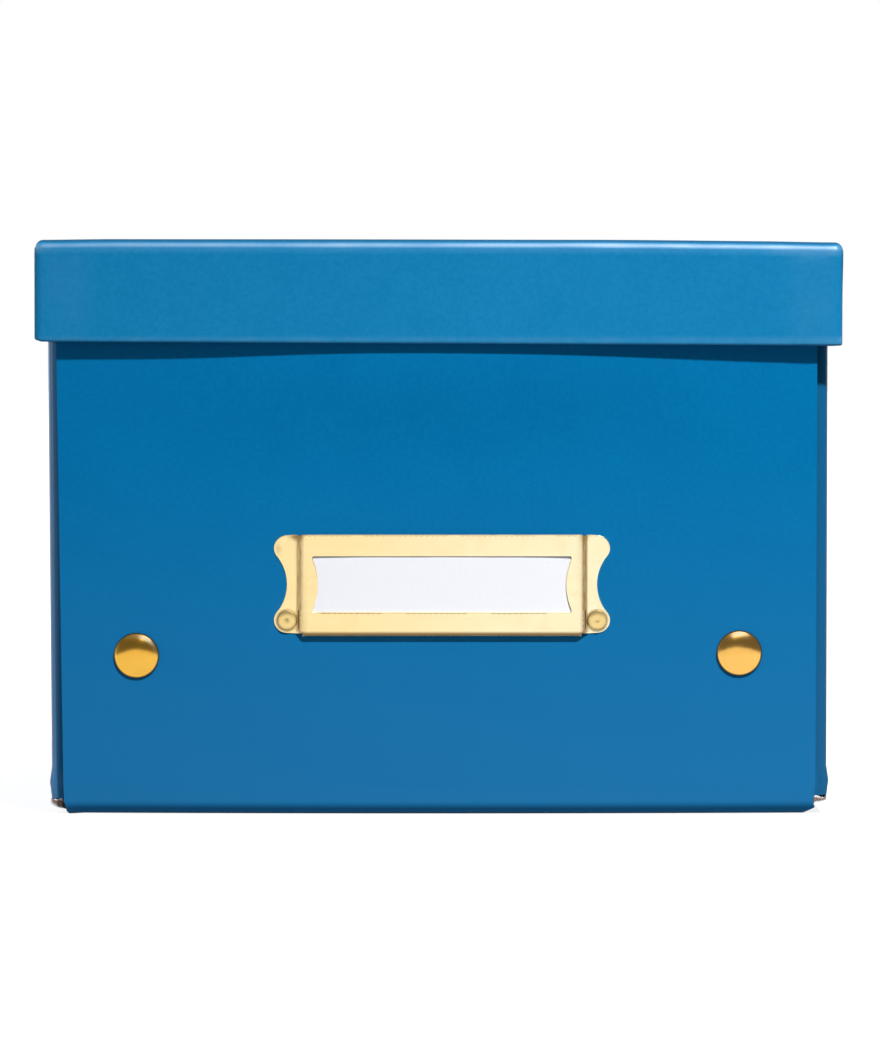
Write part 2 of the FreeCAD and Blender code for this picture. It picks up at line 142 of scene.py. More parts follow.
class Paint:
    """A material, or a world, under construction."""

    def __init__(self, name, kind="Material"):
        self.made = (bpy.data.worlds if kind == "World" else bpy.data.materials).new(name)
        self.made.use_nodes = True
        self.tree = self.made.node_tree
        self.tree.nodes.clear()
        self.out = self.tree.nodes.new("ShaderNodeOutput" + kind)

    def feed(self, socket, value):
        """Links a wire to a socket, or writes a number or a colour on it."""
        if isinstance(value, Wire):
            self.tree.links.new(value.socket, socket)
        else:
            socket.default_value = (*value, 1) if socket.type == "RGBA" else value

    def node(self, kind, settings=None, inputs=(), output=0):
        """Adds a node, sets its settings, then its inputs by place or by name, and returns one output."""
        made = self.tree.nodes.new(kind)
        for key, value in (settings or {}).items():
            setattr(made, key, value)
        for key, value in inputs.items() if isinstance(inputs, dict) else enumerate(inputs):
            self.feed(made.inputs[key], value)
        return Wire(self, made.outputs[output])

    def place(self):
        """Where a point lies on the object, in metres."""
        return self.node("ShaderNodeTexCoord", output="Object")

    def stored(self, name):
        """A number that the mesh carries at each point."""
        return self.node("ShaderNodeAttribute", {"attribute_name": name}, output="Fac")

    def cloud(self, per_metre, detail=2.0, roughness=0.5, stretch=(1, 1, 1)):
        """Soft noise from 0 to 1, so many patches to the metre, stretched along an axis if asked."""
        at = self.node("ShaderNodeMapping", {}, {"Vector": self.place(), "Scale": stretch})
        inputs = {"Vector": at, "Scale": per_metre, "Detail": detail, "Roughness": roughness}
        return self.node("ShaderNodeTexNoise", {}, inputs)

    def mix(self, share, first, second):
        """Colour first where share is 0, and second where it is 1."""
        mixer = self.node("ShaderNodeMix", {"data_type": "RGBA"}).socket.node
        colours = [socket for socket in mixer.inputs if socket.type == "RGBA"]
        for socket, value in zip((mixer.inputs[0], *colours), (share, first, second)):
            self.feed(socket, value)
        return Wire(self, next(socket for socket in mixer.outputs if socket.type == "RGBA"))

    def bump(self, height, millimetres):
        """A surface normal tilted by a height from 0 to 1, which is so many millimetres deep."""
        values = {"Height": height, "Distance": millimetres * MM, "Strength": 1.0}
        return self.node("ShaderNodeBump", {}, values)

    def rays(self):
        """1 for rays from the camera, off a mirror and through a glass, as three numbers."""
        path = self.node("ShaderNodeLightPath").socket.node
        return [Wire(self, path.outputs[f"Is {kind} Ray"]) for kind in ("Camera", "Glossy", "Transmission")]

    def end(self, surface):
        """Ends the tree with a surface."""
        self.tree.links.new(surface.socket, self.out.inputs["Surface"])
        return self.made

    def glow(self, colour, strength):
        """Ends the tree with a surface that shines."""
        return self.end(self.node("ShaderNodeEmission", {}, {"Color": colour, "Strength": strength}))

    def finish(self, **sockets):
        """Ends the tree with one shader, whose sockets are named with _ for a space."""
        inputs = {key.replace("_", " "): value for key, value in sockets.items()}
        return self.end(self.node("ShaderNodeBsdfPrincipled", {}, inputs))


print("helpers: Wire, Paint")

# %% [markdown]
# ## The studio
#
# A white table and a white background, a far lamp from the upper right as the shadows under the lid and the
# label holder say, and soft fill from all round. The photograph is a little brighter toward its right, so part
# of the light comes from a second lamp in the same direction, whose beam is centred past the right end and
# falls off over the box. A pale sheet at the left returns some light to the corner there, which the photograph
# shows as a greyer strip, and a wide lamp behind keeps the back from being black when someone looks there.
#
# The table and the background only look whiter to the camera: light paths decide that, so the lamps can stay
# at a level where a colour renders as it is written. Polished brass shows the room around it. A dome that only
# glossy rays can see gives it that room.

# %% Table and sky
TABLE_REACH = 30.0
TABLE_GREY = (0.25, 0.25, 0.26)
TABLE_LIFT = 0.84
MIRRORED_LIFT = 0.74
FILL = 0.13
BLACK, WHITE = (0.0, 0.0, 0.0), (1.0, 1.0, 1.0)


def own_mesh(name, points, faces):
    """A mesh object with its place in its mesh."""
    data = bpy.data.meshes.new(name)
    data.from_pydata([tuple(point) for point in points], [], faces)
    data.update()
    made = bpy.data.objects.new(name, data)
    bpy.context.scene.collection.objects.link(made)
    return made


corners = [(x * TABLE_REACH, y * TABLE_REACH, 0) for x, y in ((-1, -1), (1, -1), (1, 1), (-1, 1))]
table = own_mesh("table", corners, [(0, 1, 2, 3)])
table_paint = Paint("white_table")
shown, mirrored, passed = table_paint.rays()
added_white = table_paint.mix(mirrored.most(passed), BLACK, (MIRRORED_LIFT,) * 3)
added_white = table_paint.mix(shown, added_white, (TABLE_LIFT,) * 3)
table.data.materials.append(table_paint.finish(
    Base_Color=TABLE_GREY, Roughness=0.9, Emission_Color=added_white, Emission_Strength=1.0
))

sky = Paint("white_room", "World")
shown, mirrored, passed = sky.rays()
sky_strength = FILL + shown.most(mirrored).most(passed) * (1 - FILL)
sky_light = sky.node("ShaderNodeBackground", {}, {"Color": WHITE, "Strength": sky_strength})
bpy.context.scene.world = sky.end(sky_light)
print("table and sky, with fill light of", FILL)

# %% Lamps
KEY_STRENGTH = 3.2
KEY_WIDTH = math.radians(3.5)
KEY_HEIGHT = math.radians(52.2)
KEY_TURN = math.radians(24)
BEAM_STRENGTH = 1.9
BEAM_DISTANCE = 3.0
BEAM_PAST = 0.32
BEAM_ANGLE = math.radians(21)
BOX_MIDDLE_HEIGHT = 0.09
SHEET_POWER, SHEET_WIDTH = 1.1, 0.4
BACK_POWER, BACK_WIDTH = 18.0, 1.2


def lamp(name, kind, energy, place, aim, **settings):
    """A lamp at a place, turned toward a point."""
    data = bpy.data.lights.new(name, kind)
    data.energy = energy
    for key, value in settings.items():
        setattr(data, key, value)
    made = bpy.data.objects.new(name, data)
    made.location = place
    made.rotation_euler = (aim - place).to_track_quat("-Z", "Y").to_euler()
    bpy.context.scene.collection.objects.link(made)
    return made


front_middle = Vector((0, front_plane, BOX_MIDDLE_HEIGHT))
toward_key = Vector((
    math.sin(KEY_TURN) * math.cos(KEY_HEIGHT), -math.cos(KEY_TURN) * math.cos(KEY_HEIGHT), math.sin(KEY_HEIGHT)
))
far_off = front_middle + toward_key * BEAM_DISTANCE
key = lamp("key_lamp", "SUN", KEY_STRENGTH, far_off, front_middle, angle=KEY_WIDTH)
beam = lamp(
    "beam_lamp", "SPOT", BEAM_STRENGTH * 4 * math.pi * BEAM_DISTANCE ** 2, far_off,
    front_middle + Vector((BEAM_PAST, 0, 0)), spot_size=BEAM_ANGLE, spot_blend=1.0,
    shadow_soft_size=BEAM_DISTANCE * KEY_WIDTH / 2
)
left_corner, box_heart = Vector((-0.1, front_plane, 0.08)), Vector((0, 0, 0.08))
lamp("left_sheet", "AREA", SHEET_POWER, Vector((-0.90, -0.35, 0.20)), left_corner, size=SHEET_WIDTH)
lamp("back_lamp", "AREA", BACK_POWER, Vector((-1.1, 1.6, 1.0)), box_heart, size=BACK_WIDTH)
print("key lamp above the level in degrees:", round(math.degrees(KEY_HEIGHT)))

# %% The room that brass reflects
DOME_RADIUS = 12.0
DOME_RINGS, DOME_SPOKES = 24, 48


def dome_mesh():
    """The upper half of a ball, open below."""
    points = []
    for ring in range(DOME_RINGS + 1):
        height = math.radians(90) * ring / DOME_RINGS
        across, up = math.cos(height) * DOME_RADIUS, math.sin(height) * DOME_RADIUS
        for spoke in range(DOME_SPOKES):
            turn = 2 * math.pi * spoke / DOME_SPOKES
            points.append((across * math.cos(turn), across * math.sin(turn), up))
    faces = []
    for ring in range(DOME_RINGS):
        for spoke in range(DOME_SPOKES):
            beside = (spoke + 1) % DOME_SPOKES
            low, high = ring * DOME_SPOKES, (ring + 1) * DOME_SPOKES
            faces.append((low + spoke, high + spoke, high + beside, low + beside))
    return own_mesh("reflected_room", points, faces)


def mirrored_only(piece, paint, colour, strength):
    """Makes a surface shine for glossy rays only."""
    for kind in ("camera", "diffuse", "shadow", "transmission"):
        setattr(piece, "visible_" + kind, False)
    piece.data.materials.append(paint.glow(colour, strength))
    print(piece.name, "shows to glossy rays only")


room_paint = Paint("reflected_room")
direction = room_paint.node("ShaderNodeSeparateXYZ", {}, (room_paint.place(),)).socket.node
toward = {axis: Wire(room_paint, direction.outputs[axis]) * (1 / DOME_RADIUS) for axis in "XYZ"}
uneven = (room_paint.cloud(0.5, detail=2) - 0.5) * 0.12
arched = toward["Z"] + toward["X"] ** 2 * 0.38 + uneven
wall_edge = arched.between(0.215, 0.285)
behind = toward["Y"].between(-0.15, 0.2)
overhead = toward["Z"].between(0.5, 0.9)
at_left = (toward["X"] * -1.0).between(0.84, 0.92) * (1.0 - toward["Z"].between(0.3, 0.5))
radiance = 1.08 - wall_edge * (0.92 - overhead * 0.25) + at_left * 1.1 + behind * (1.3 - wall_edge * 0.9)
mirrored_only(dome_mesh(), room_paint, (1, 0.985, 0.96), radiance)

# %% [markdown]
# ## Board and paper
#
# The board is laminated: a white paper printed blue outside, a white paper inside, and grey-brown pulp between
# them. The print isn't one flat blue. It is faintly mottled, the film over it has a fine grain, and the folds
# are rubbed. Some paler and darker marks are painted light: painted highlights on the lid's fold and mitres,
# painted shade on the right corner strips and along the lid's edges, and a greyer print toward the foot as a
# painted reflection of the table. The cut edge shows the layers, so its colour follows how deep into the board
# a point lies, a number that the mesh carries.

# %% Blue, white and cut board
BOARD_BLUE = (0.0002, 0.142, 0.352)
BOARD_BLUE_PALE = (0.0006, 0.162, 0.385)
# Painted reflection: the greyer blue that the print is painted toward the foot.
BOARD_BLUE_FLOOR_SHEEN = (0.0105, 0.150, 0.352)
LID_BLUE = (0.0050, 0.182, 0.40)
LID_BLUE_PALE = (0.0090, 0.208, 0.44)
# Paler blue for rubbed wear and for painted highlights.
RUBBED_AND_HIGHLIGHT_BLUE = (0.10, 0.30, 0.50)
# Dark blue for painted shade.
PAINTED_SHADE_BLUE = (0.012, 0.055, 0.11)
PAPER_WHITE = (0.80, 0.81, 0.82)
PAPER_GREY = (0.70, 0.71, 0.72)
PULP_DARK = (0.13, 0.085, 0.07)
PULP_PALE = (0.36, 0.27, 0.23)
FLOOR_SHEEN_TOP = 0.11


def printed_paper(name, deep, pale, floor_sheen, roughness, grain_mm, fold_roughness):
    """Blue paper under a satin film, with a painted reflection of the table greying its foot, polished where
    folded.
    """
    paint = Paint(name)
    mottle = paint.cloud(60, detail=4).between(0.25, 0.75)
    flecks = paint.cloud(900, detail=2).between(0.3, 0.7)
    colour = paint.mix(mottle * 0.35 + flecks * 0.65, deep, pale)
    # Painted reflection: the print turns greyer toward the foot, standing in for the pale table's sheen.
    height = paint.node("ShaderNodeSeparateXYZ", {}, (paint.place(),), output=2)
    colour = paint.mix(1.0 - height.between(0.0, FLOOR_SHEEN_TOP), colour, floor_sheen)
    # Above 0 the stored number is rubbed wear and painted highlight, below 0 it is painted shade.
    worn_or_lit = paint.stored("wear_and_painted_light")
    wear_and_painted_light = worn_or_lit.most(0.0) * (paint.cloud(150, detail=4).between(0.3, 0.75) * 0.4 + 0.4)
    colour = paint.mix(wear_and_painted_light, colour, RUBBED_AND_HIGHLIGHT_BLUE)
    colour = paint.mix((worn_or_lit * -1.0).most(0.0), colour, PAINTED_SHADE_BLUE)
    grain = paint.cloud(1500, detail=2) * 0.6 + paint.cloud(120, detail=2) * 0.4
    film = roughness + paint.cloud(300, detail=2) * 0.08 + wear_and_painted_light * 0.12
    return paint.finish(
        Base_Color=colour, Roughness=film, Specular_IOR_Level=0.02, Coat_Weight=paint.stored("gloss"),
        Coat_Roughness=fold_roughness, Coat_IOR=1.8, Normal=paint.bump(grain, grain_mm)
    )


def plain_paper(name, bright, dull, per_metre=500, fibre_mm=0.03):
    """Uncoated paper with short fibres."""
    paint = Paint(name)
    fibres = paint.cloud(per_metre, detail=4, stretch=(1, 1, 0.4))
    colour = paint.mix(fibres.between(0.3, 0.8), bright, dull)
    return paint.finish(
        Base_Color=colour, Roughness=0.85, Specular_IOR_Level=0.2, Normal=paint.bump(fibres, fibre_mm)
    )


def cut_board(name):
    """Layers at a cut edge: white paper at both faces and pulp between them."""
    paint = Paint(name)
    depth = paint.stored("depth") + (paint.cloud(900) - 0.5) * 0.08
    pulp = paint.mix(paint.cloud(1800, detail=3).between(0.35, 0.65), PULP_DARK, PULP_PALE)
    papers = 1.0 - depth.between(0.10, 0.14) * (1.0 - depth.between(0.68, 0.74))
    colour = paint.mix(papers, pulp, PAPER_WHITE)
    printed = 1.0 - depth.between(0.02, 0.06)
    colour = paint.mix(printed, colour, BOARD_BLUE)
    ragged = paint.cloud(2200, detail=4)
    return paint.finish(
        Base_Color=colour, Roughness=0.9, Specular_IOR_Level=0.15, Normal=paint.bump(ragged, 0.08)
    )


board_blue = printed_paper(
    "blue_laminated_board", BOARD_BLUE, BOARD_BLUE_PALE, BOARD_BLUE_FLOOR_SHEEN, 0.40, 0.012, 0.30
)
cover_blue = printed_paper("blue_cover_paper", LID_BLUE, LID_BLUE_PALE, LID_BLUE, 0.36, 0.012, 0.42)
lining_white = plain_paper("white_lining_paper", PAPER_WHITE, PAPER_GREY)
board_cut = cut_board("cut_board_edge")
grey_board = plain_paper("grey_board", (0.42, 0.38, 0.33), (0.30, 0.27, 0.23), 900)
stay_brown = plain_paper("gummed_stay_paper", (0.62, 0.50, 0.34), (0.52, 0.42, 0.28))
card_white = plain_paper("label_card_stock", (0.83, 0.84, 0.885), (0.815, 0.825, 0.872), 900, 0.006)
print("papers:", 7)

# %% [markdown]
# ## Brass
#
# Four brass finishes: the holder is rolled sheet, pale and bright with a faint grain along its length and
# tiny dents from the press. Its rivets are a deeper yellow, the caps are lacquered a warmer gold, and the small
# parts inside are duller. The ring springs are steel, from the same recipe.
#
# Clean brass is full metal, so its colour sits in Base Color and the room does the rest. Dirt and tarnish
# aren't metal, so where the mesh says that a spot is stained, the metal gives way to a dark matt film. The same
# film is painted shade at the holder's top rim, steps and lip, on the rivets' upper side and, with some dirt,
# round the caps' rims. A pale crescent on each cap is a painted highlight, and the holder and the caps are
# painted paler toward the right, as painted light.

# %% Four brasses and a spring steel
# Pale metal for painted highlights.
PAINTED_HIGHLIGHT_BRASS = (0.86, 0.82, 0.62)


def brass(name, bright, dull, roughness, grain_stretch, dent_mm, worn_or_lit=None, stain_and_shade=(0.20, 0.15, 0.06)):
    """Metal with rolling lines, faint stains and shallow dents, and if given a paler colour painted toward the
    right as light.

    The stored number is above 0 where the metal is stained or painted with shade, and below 0 where a highlight
    is painted.
    """
    paint = Paint(name)
    lines = paint.cloud(500, detail=4, stretch=grain_stretch)
    stains = paint.cloud(160, detail=3).between(0.45, 0.75)
    stain_and_painted_light = paint.stored("stain_and_painted_light")
    # Painted light: the metal is painted paler toward the right, where more light falls.
    if worn_or_lit:
        across = paint.node("ShaderNodeSeparateXYZ", {}, (paint.place(),))
        bright = paint.mix((across + paint.cloud(40) * 0.03).between(-0.03, 0.06), bright, worn_or_lit)
    colour = paint.mix(stains * 0.12 + lines.between(0.5, 0.8) * 0.10, bright, dull)
    colour = paint.mix(stain_and_painted_light.most(0.0), colour, stain_and_shade)
    # Painted highlight where the stored number is below 0.
    colour = paint.mix((stain_and_painted_light * -1.0).most(0.0), colour, PAINTED_HIGHLIGHT_BRASS)
    dents = paint.cloud(350, detail=1).between(0.55, 0.8) * 0.7 + lines * 0.3
    polish = roughness + lines * 0.1 + abs(stain_and_painted_light) * 0.25
    metal = 1.0 - stain_and_painted_light.most(0.0).least(1.0) * 0.85
    return paint.finish(
        Base_Color=colour, Metallic=metal, Roughness=polish, Normal=paint.bump(dents, dent_mm)
    )


holder_brass = brass(
    "rolled_brass", (0.97, 0.76, 0.385), (0.78, 0.54, 0.18), 0.20, (0.08, 1, 1), 0.003,
    worn_or_lit=(0.99, 0.87, 0.57), stain_and_shade=(0.27, 0.16, 0.045)
)
rivet_brass = brass(
    "rivet_brass", (0.86, 0.64, 0.27), (0.70, 0.48, 0.16), 0.22, (1, 1, 1), 0.004, stain_and_shade=(0.16, 0.11, 0.03)
)
cap_brass = brass(
    "lacquered_brass", (0.83, 0.46, 0.068), (0.60, 0.33, 0.05), 0.13, (1, 1, 1), 0.006,
    worn_or_lit=(0.91, 0.52, 0.125), stain_and_shade=(0.05, 0.04, 0.015)
)
inner_brass = brass("dull_brass", (0.70, 0.54, 0.24), (0.50, 0.36, 0.14), 0.30, (1, 1, 1), 0.006)
spring_steel = brass("spring_steel", (0.56, 0.56, 0.58), (0.36, 0.36, 0.38), 0.30, (1, 1, 1), 0.004)
print("metals:", 5)

# %% [markdown]
# ## The folded blank
#
# On the real box the base, the walls and the corner flaps are one die-cut board. So the mesh is drawn the same
# way: patches of a flat blank, each with a rule that folds it up. A rule takes a place on the blank and a depth
# into the board, so the outside, the inside and the cut edge all come from one rule and the board keeps its
# thickness round every crease. Hand-folded board is never quite straight: the front bows out at its top, the
# walls lean in a little at the foot, and the base stands on its middle.

# %% Sizes of the blank
body_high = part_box("body_blank")[1]
HALF_WIDTH = body_high.x
HALF_LENGTH = body_high.y
WALL_TOP = body_high.z
BOARD = 1.5 * MM
BASE_BEND = 3.7 * MM
FLAP_BEND = 2.6 * MM
FLAP_GAP = 3.8 * MM
FLAP_LENGTH = 46 * MM
FLAP_FOOT = 4.4 * MM
FLAP_TOP = WALL_TOP - 1.0 * MM
FLAP_TAPER = 6 * MM
FLAP_ROUND = 5 * MM
FLAP_FACE = HALF_LENGTH - BOARD - FLAP_GAP
SIDE_END = FLAP_FACE - FLAP_BEND
BASE_X = HALF_WIDTH - BASE_BEND
BASE_Y = HALF_LENGTH - BASE_BEND
SWELL_LEFT, SWELL_RIGHT = 0.9, 0.30
CRUSH_LEFT, CRUSH_RIGHT = 1.3 * MM, 2.9 * MM
END_REACH = 3.8 * MM
FOOT_SHIFT_LEFT, FOOT_SHIFT_RIGHT = -0.5 * MM, 0.5 * MM
FRONT_BOW = 1.7 * MM
SIDE_BOW = 0.9 * MM
BOW_STARTS, BOW_FULL = 0.61, 0.80
CORNER_LIFT = 0.33 * MM
HALF_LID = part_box("lid_cover")[1].x
CELLS_ACROSS, CELLS_ALONG, CELLS_UP, CELLS_ROUND = 56, 64, 36, 10


def smooth(low, high, value):
    """0 below low, 1 above high, with a soft step between them."""
    share = max(0.0, min(1.0, (value - low) / (high - low)))
    return share * share * (3 - 2 * share)


def spot(*pairs):
    """1 where every offset is 0, fading round it: each pair is an offset and how far the spot reaches."""
    return math.exp(-sum((offset / reach) ** 2 for offset, reach in pairs))


def ripple(x, y, z):
    """Smooth noise from -1 to 1."""
    return noise.noise(Vector((x, y, z)))


def spread(start, end, count):
    """Evenly spaced values from start to end."""
    return [start + (end - start) * i / count for i in range(count + 1)]


def rows_up(*stops):
    """Heights along a wall, from where the bend ends to its top, through the stops."""
    heights = [BASE_BEND]
    for stop in stops:
        count = max(1, round(CELLS_UP * (stop - heights[-1]) / WALL_TOP))
        heights += spread(heights[-1], stop, count)[1:]
    return heights


def bent(along, depth, radius):
    """A sheet that runs level, turns up a quarter turn and runs on: returns (run, rise) of a point.

    along is 0 where the bend starts, and depth is how far the point lies inside the bend's outer face.
    """
    arc = radius * math.pi / 2
    if along < arc:
        angle = along / radius
        return math.sin(angle) * (radius - depth), radius - math.cos(angle) * (radius - depth)
    return radius - depth, radius + along - arc


def wall_line(heights):
    """Distances along the sheet for the bend's steps and the wall's heights."""
    arc = BASE_BEND * math.pi / 2
    return spread(0, arc, CELLS_ROUND) + [arc + height - BASE_BEND for height in heights[1:]]


print("blank: base", round(2 * BASE_X / MM), "x", round(2 * BASE_Y / MM), "mm between creases")

# %% The rules that fold it
LEFT_FOOT, LEFT_TOP = 104.7 * MM, 107.1 * MM
RIGHT_FOOT, RIGHT_TOP = 105.3 * MM, 105.9 * MM
FOOT_ROUND = 1.1 * MM
FOOT_CUT = 1.6 * MM


def panel_edge(side, rise):
    """Half width of a front or back panel at a height, on the left (-1) or the right (1)."""
    foot, top = (LEFT_FOOT, LEFT_TOP) if side < 0 else (RIGHT_FOOT, RIGHT_TOP)
    half = foot + (top - foot) * rise / WALL_TOP
    if side > 0:
        half -= 0.6 * MM * spot((rise - 3.3 * MM, 1.1 * MM))
        return half - max(0.0, FOOT_CUT - rise) * 2.1
    half -= 0.8 * MM * (1 - smooth(0, 5.0 * MM, rise))
    below = max(0.0, FOOT_ROUND - rise)
    return half - FOOT_ROUND + math.sqrt(FOOT_ROUND ** 2 - below ** 2)


def lid_tilt(x):
    """How far the lid's top lies below its true height: it sits a little lower on the right."""
    corner = 0.22 * smooth(90 * MM, HALF_LID, abs(x))
    return MM * (0.28 + 0.12 * x / HALF_LID + 0.50 * smooth(40 * MM, 110 * MM, x) + corner)


def settle(x, y, z, level=None):
    """How the folded box stands: its base rests on its middle, its corners lift, and its right rim is lower.

    The side creases are crushed upwards at their cut ends. level is the height of the board's outer face there.
    """
    level = z if level is None else level
    lift = CORNER_LIFT * (x / HALF_WIDTH) ** 2 * abs(y / HALF_LENGTH) ** 4 * (1 - smooth(0, 30 * MM, z))
    lift *= 1 - spot((x + 103.4 * MM, 1.4 * MM))
    if abs(y) < FLAP_FACE + BOARD:
        at_end = smooth(96 * MM, 122 * MM, abs(y)) * smooth(100.5 * MM, 105.5 * MM, abs(x))
        crush, shift = (CRUSH_LEFT, FOOT_SHIFT_LEFT) if x < 0 else (CRUSH_RIGHT, FOOT_SHIFT_RIGHT)
        lift += crush * at_end * max(0.0, 1 - level / FLAP_FOOT)
        lift += shift * at_end * smooth(3.2 * MM, 4.3 * MM, level) * (1 - smooth(5 * MM, 13 * MM, level))
    return Vector((x, y, z + lift - lid_tilt(x) * smooth(90 * MM, WALL_TOP, z)))


def swollen(depth, side, y, share):
    """A depth into the board, which is thicker where a side crease is cut off."""
    return depth * (1 + (SWELL_LEFT if side < 0 else SWELL_RIGHT) * smooth(112 * MM, 131 * MM, abs(y)) * share)


def base_rule(x, y, depth):
    at_crease = smooth(BASE_X - 2 * MM, BASE_X + 1 * MM, abs(x))
    return settle(x, reached(x, y, 0.0), swollen(depth, x, y, at_crease), 0.0)


def reached(x, y, level):
    """The cut ends of the side creases reach further out than the flaps that are folded above them."""
    if abs(abs(y) - SIDE_END) > 0.001 * MM:
        return y
    out = smooth(102 * MM, 105.5 * MM, abs(x)) * (1 - smooth(3.0 * MM, FLAP_FOOT - 0.1 * MM, level))
    return y + math.copysign(END_REACH * out, y)


def end_rule(side):
    """Folds up the front panel (side -1) or the back panel (side 1) from (share across, along)."""

    def rule(share, along, depth):
        run, rise = bent(along, depth, BASE_BEND)
        level = max(0.0, min(rise, WALL_TOP))
        x = share * panel_edge(math.copysign(1, share), level)
        bow = FRONT_BOW * (1 - share * share) ** (2.7 if share < 0 else 1.6)
        bow *= smooth(BOW_STARTS, BOW_FULL, level / WALL_TOP)
        wave = 0.15 * MM * ripple(x * 18, side * 3.0, rise * 18) * smooth(82 * MM, 120 * MM, rise)
        return settle(x, side * (BASE_Y + run + bow + wave), rise)

    return rule


def side_lean(side, rise):
    """How far a side wall's face lies inside the plan width at a height: in at the foot, out at the top."""
    foot, top = (0.66 * MM, -0.62 * MM) if side < 0 else (0.20 * MM, -0.10 * MM)
    return foot + (top - foot) * rise / WALL_TOP


def side_rule(side):
    """Folds up the left wall (side -1) or the right wall (side 1) from (along, place on the length)."""

    def rule(along, y, depth):
        in_bend = smooth(-2 * MM, 1 * MM, along) * (1 - smooth(3 * MM, 5 * MM, along))
        level = bent(along, 0.0, BASE_BEND)[1]
        run, rise = bent(along, swollen(depth, side, y, in_bend), BASE_BEND)
        middle = 1 - (y / SIDE_END) ** 2
        bow = SIDE_BOW * middle * smooth(BOW_STARTS, BOW_FULL, rise / WALL_TOP)
        wave = 0.12 * MM * middle * ripple(side * 5.0, y * 16, rise * 18)
        lean = side_lean(side, rise) * smooth(0, 6 * MM, rise)
        x = side * (BASE_X + run + bow + wave - lean)
        return settle(x, reached(x, y, level), rise, level)

    return rule


def flap_rule(side, end):
    """Folds a corner flap in behind the front or the back panel, from (height, along)."""

    def rule(rise, along, depth):
        into, out = bent(along, depth, FLAP_BEND)
        tongue = along - FLAP_BEND * math.pi / 2
        reach = FLAP_LENGTH - FLAP_BEND
        taper = FLAP_TAPER * max(0.0, tongue) / reach
        late = tongue - (reach - FLAP_ROUND)
        if late > 0:
            taper += FLAP_ROUND - math.sqrt(max(0.0, FLAP_ROUND ** 2 - late ** 2))
        share = (rise - FLAP_FOOT) / (FLAP_TOP - FLAP_FOOT)
        height = rise + taper * (1 - 2 * share)
        bulge = 0.8 * MM * spot((rise - 8 * MM, 2.8 * MM)) * smooth(0, 1.0 * MM, along)
        bulge *= 1 - smooth(0, FLAP_BEND, tongue)
        x = HALF_WIDTH - out - side_lean(side, rise) + bulge
        forward = 1.2 * MM * smooth(0, 2.5 * MM, along) * (1 - smooth(2 * MM, 12 * MM, tongue))
        return settle(side * x, end * (SIDE_END + into + forward), height)

    return rule


print("front bows out by", round(FRONT_BOW / MM, 2), "mm at its top")

# %% [markdown]
# The patches share their grid lines where they meet, so points that fall on the same place become one. An
# edge that belongs to one face only is where the board was cut, and gets a strip that joins the outside to the
# inside.

# %% From patches to one closed board
def folded_board(name, patches, thickness, finishes, light_and_wear_rule, gloss_rule=None):
    """Builds the board from (first lines, second lines, rule, wanted, turned) patches.

    wanted says which cells of a patch exist, and turned that they face the other way. Finishes are those of
    the outside, the inside and the cut edge.
    """
    outside, inside, known, cells, light_and_wear_values = [], [], {}, [], []

    def point(rule, a, b):
        place = rule(a, b, 0.0)
        mark = tuple(round(value / (0.002 * MM)) for value in place)
        if mark not in known:
            known[mark] = len(outside)
            outside.append(place)
            inside.append(rule(a, b, thickness))
            light_and_wear_values.append(light_and_wear_rule(place))
        return known[mark]

    for firsts, seconds, rule, wanted, turned in patches:
        grid = [[point(rule, a, b) for b in seconds] for a in firsts]
        for i in range(len(firsts) - 1):
            for j in range(len(seconds) - 1):
                if wanted(i, j):
                    cell = (grid[i][j], grid[i + 1][j], grid[i + 1][j + 1], grid[i][j + 1])
                    cells.append(cell[::-1] if turned else cell)
    count = len(outside)
    used = {edge: True for cell in cells for edge in zip(cell, cell[1:] + cell[:1])}
    faces = list(cells) + [tuple(i + count for i in reversed(cell)) for cell in cells]
    rim = [(b, a, a + count, b + count) for a, b in used if (b, a) not in used]
    made = own_mesh(name, outside + inside, faces + rim)
    for finish in finishes:
        made.data.materials.append(finish)
    indices = [0] * len(cells) + [1] * len(cells) + [2] * len(rim)
    made.data.polygons.foreach_set("material_index", indices)
    store(made, "depth", [0.0] * count + [1.0] * count)
    store(made, "wear_and_painted_light", light_and_wear_values + [0.0] * count)
    if gloss_rule:
        store(made, "gloss", [gloss_rule(place) for place in outside] + [0.0] * count)
    shade_smooth(made)
    return made


def store(piece, name, values):
    """Gives each point of a mesh a number that its material reads."""
    layer = piece.data.attributes.new(name, "FLOAT", "POINT")
    layer.data.foreach_set("value", values)


def shade_smooth(piece, crease=math.radians(35)):
    """Smooth shading that stays sharp where faces meet at more than an angle."""
    piece.data.shade_smooth()
    piece.data.set_sharp_from_angle(angle=crease)


def seen_past_panel(y):
    """1 on the corner flaps, which the end walls stand in front of, and 0 on those walls."""
    return 1 - smooth(FLAP_FACE + 1.4 * MM, FLAP_FACE + 2.6 * MM, abs(y))


